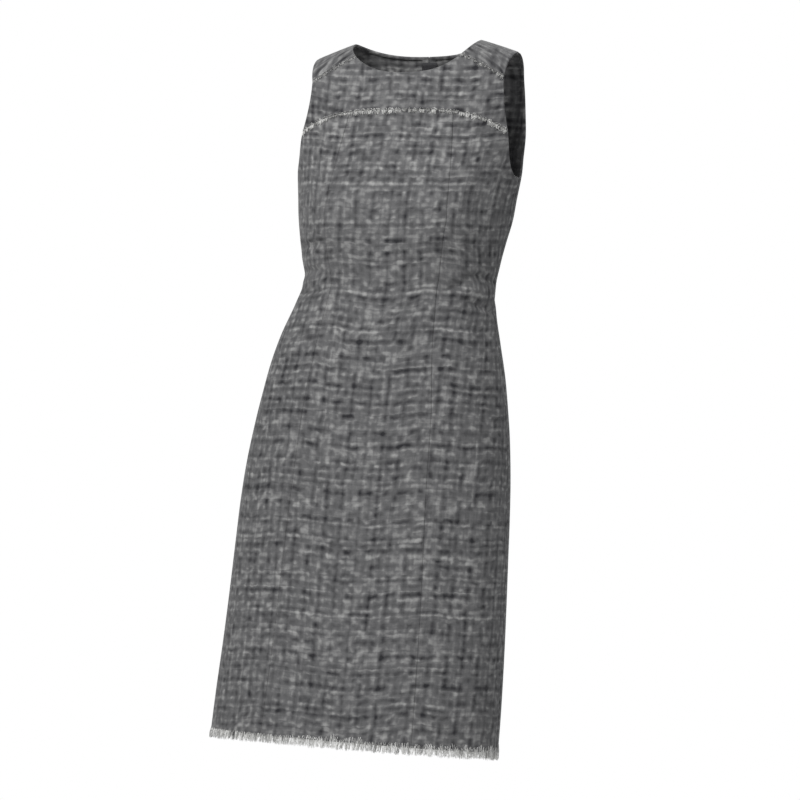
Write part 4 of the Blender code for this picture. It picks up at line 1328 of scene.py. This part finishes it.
VIEW_AZIMUTH = 14.0
VIEW_ELEVATION = -0.2
VIEW_DISTANCE = 24.0
VIEW_WIDTH = 1088 * MM         # what the picture takes in at the dress
VIEW_MIDDLE = (-24.5 * MM, -487 * MM)
FLOOR_HEIGHT = -1.45
FLOOR_RADIUS = 7.0
LIT_POINT = Vector((-0.03, 0, -0.45))
# name, azimuth, elevation (degrees), distance, size (m), power (W), colour
LIGHTS = (
    ("key", -5, 34, 3.2, 1.4, 92, (1.0, 0.995, 0.985)),
    ("back", 180, 40, 3.4, 2.0, 48, (1.0, 1.0, 1.0)),
)
SOFT_LIGHT = (0.97, 0.98, 1.0, 1.0)
SOFT_STRENGTH = 0.30


def view_direction(azimuth, elevation):
    a, e = math.radians(azimuth), math.radians(elevation)
    return Vector((math.sin(a) * math.cos(e), -math.cos(a) * math.cos(e), math.sin(e)))


def add_light(name, azimuth, elevation, distance, size, power, colour):
    lamp = bpy.data.lights.new(name, "AREA")
    lamp.shape = "SQUARE"
    lamp.size = size
    lamp.energy = power
    lamp.color = colour
    light = bpy.data.objects.new(name, lamp)
    bpy.context.scene.collection.objects.link(light)
    away = view_direction(azimuth, elevation)
    light.location = LIT_POINT + away * distance
    light.rotation_euler = away.to_track_quat("Z", "Y").to_euler()


class DRESS_OT_stage(bpy.types.Operator):
    """Make the floor, the light and the camera"""
    bl_idname = "dress.stage"
    bl_label = "Stage"

    def execute(self, context):
        scene = context.scene
        bpy.ops.mesh.primitive_circle_add(
            vertices=96, radius=FLOOR_RADIUS, fill_type="NGON", location=(0, 0, FLOOR_HEIGHT))
        floor = context.object
        floor.name = "floor"
        f = Finish("pale_floor")
        f.set(Base_Color=(*scene.dress_colours.floor, 1.0), Roughness=0.8)
        floor.data.materials.append(f.material)
        world = bpy.data.worlds.new("studio")
        scene.world = world
        world.use_nodes = True
        tree = world.node_tree
        soft = tree.nodes["Background"]
        soft.inputs["Color"].default_value = SOFT_LIGHT
        soft.inputs["Strength"].default_value = SOFT_STRENGTH
        pale = tree.nodes.new("ShaderNodeBackground")
        pale.inputs["Color"].default_value = (1.0, 1.0, 1.0, 1.0)
        path = tree.nodes.new("ShaderNodeLightPath")
        mix = tree.nodes.new("ShaderNodeMixShader")
        tree.links.new(path.outputs["Is Camera Ray"], mix.inputs[0])
        tree.links.new(soft.outputs[0], mix.inputs[1])
        tree.links.new(pale.outputs[0], mix.inputs[2])
        tree.links.new(mix.outputs[0], tree.nodes["World Output"].inputs["Surface"])
        for light in LIGHTS:
            add_light(*light)
        lens = bpy.data.cameras.new("camera")
        lens.sensor_width = 36.0
        lens.lens = lens.sensor_width * VIEW_DISTANCE / VIEW_WIDTH
        camera = bpy.data.objects.new("camera", lens)
        scene.collection.objects.link(camera)
        a = math.radians(VIEW_AZIMUTH)
        right = Vector((math.cos(a), math.sin(a), 0))
        target = right * VIEW_MIDDLE[0] + Vector((0, 0, VIEW_MIDDLE[1]))
        back = view_direction(VIEW_AZIMUTH, VIEW_ELEVATION)
        camera.location = target + back * VIEW_DISTANCE
        camera.rotation_euler = back.to_track_quat("Z", "Y").to_euler()
        lens.clip_end = 100
        scene.camera = camera
        scene.view_settings.view_transform = "Standard"
        return {"FINISHED"}


STEPS = (
    DRESS_OT_stage,
    DRESS_OT_finishes,
    DRESS_OT_front,
    DRESS_OT_back,
    DRESS_OT_seam_fringes,
    DRESS_OT_hem_fringe,
    DRESS_OT_zip,
)


class DRESS_PT_steps(bpy.types.Panel):
    """Shows the dress's sizes and colours, and a button for each step"""
    bl_idname = "DRESS_PT_steps"
    bl_label = "Sheath dress"
    bl_space_type = "VIEW_3D"
    bl_region_type = "UI"
    bl_category = "Dress"

    def draw(self, context):
        for group in (context.scene.dress_sizes, context.scene.dress_colours):
            for name in group.bl_rna.properties.keys():
                if name not in ("rna_type", "name"):
                    self.layout.prop(group, name)
        for step in STEPS:
            self.layout.operator(step.bl_idname)


CLASSES = (DressSizes, DressColours, *STEPS, DRESS_PT_steps)


def register():
    for each in CLASSES:
        bpy.utils.register_class(each)
    bpy.types.Scene.dress_sizes = bpy.props.PointerProperty(type=DressSizes)
    bpy.types.Scene.dress_colours = bpy.props.PointerProperty(type=DressColours)


def unregister():
    del bpy.types.Scene.dress_colours
    del bpy.types.Scene.dress_sizes
    for each in reversed(CLASSES):
        bpy.utils.unregister_class(each)


def main():
    register()
    bpy.ops.dress.stage()
    bpy.ops.dress.finishes()
    bpy.ops.dress.front()
    bpy.ops.dress.back()
    bpy.ops.dress.seam_fringes()
    bpy.ops.dress.hem_fringe()
    bpy.ops.dress.zip()
    bpy.context.view_layer.update()


if __name__ == "__main__":
    main()
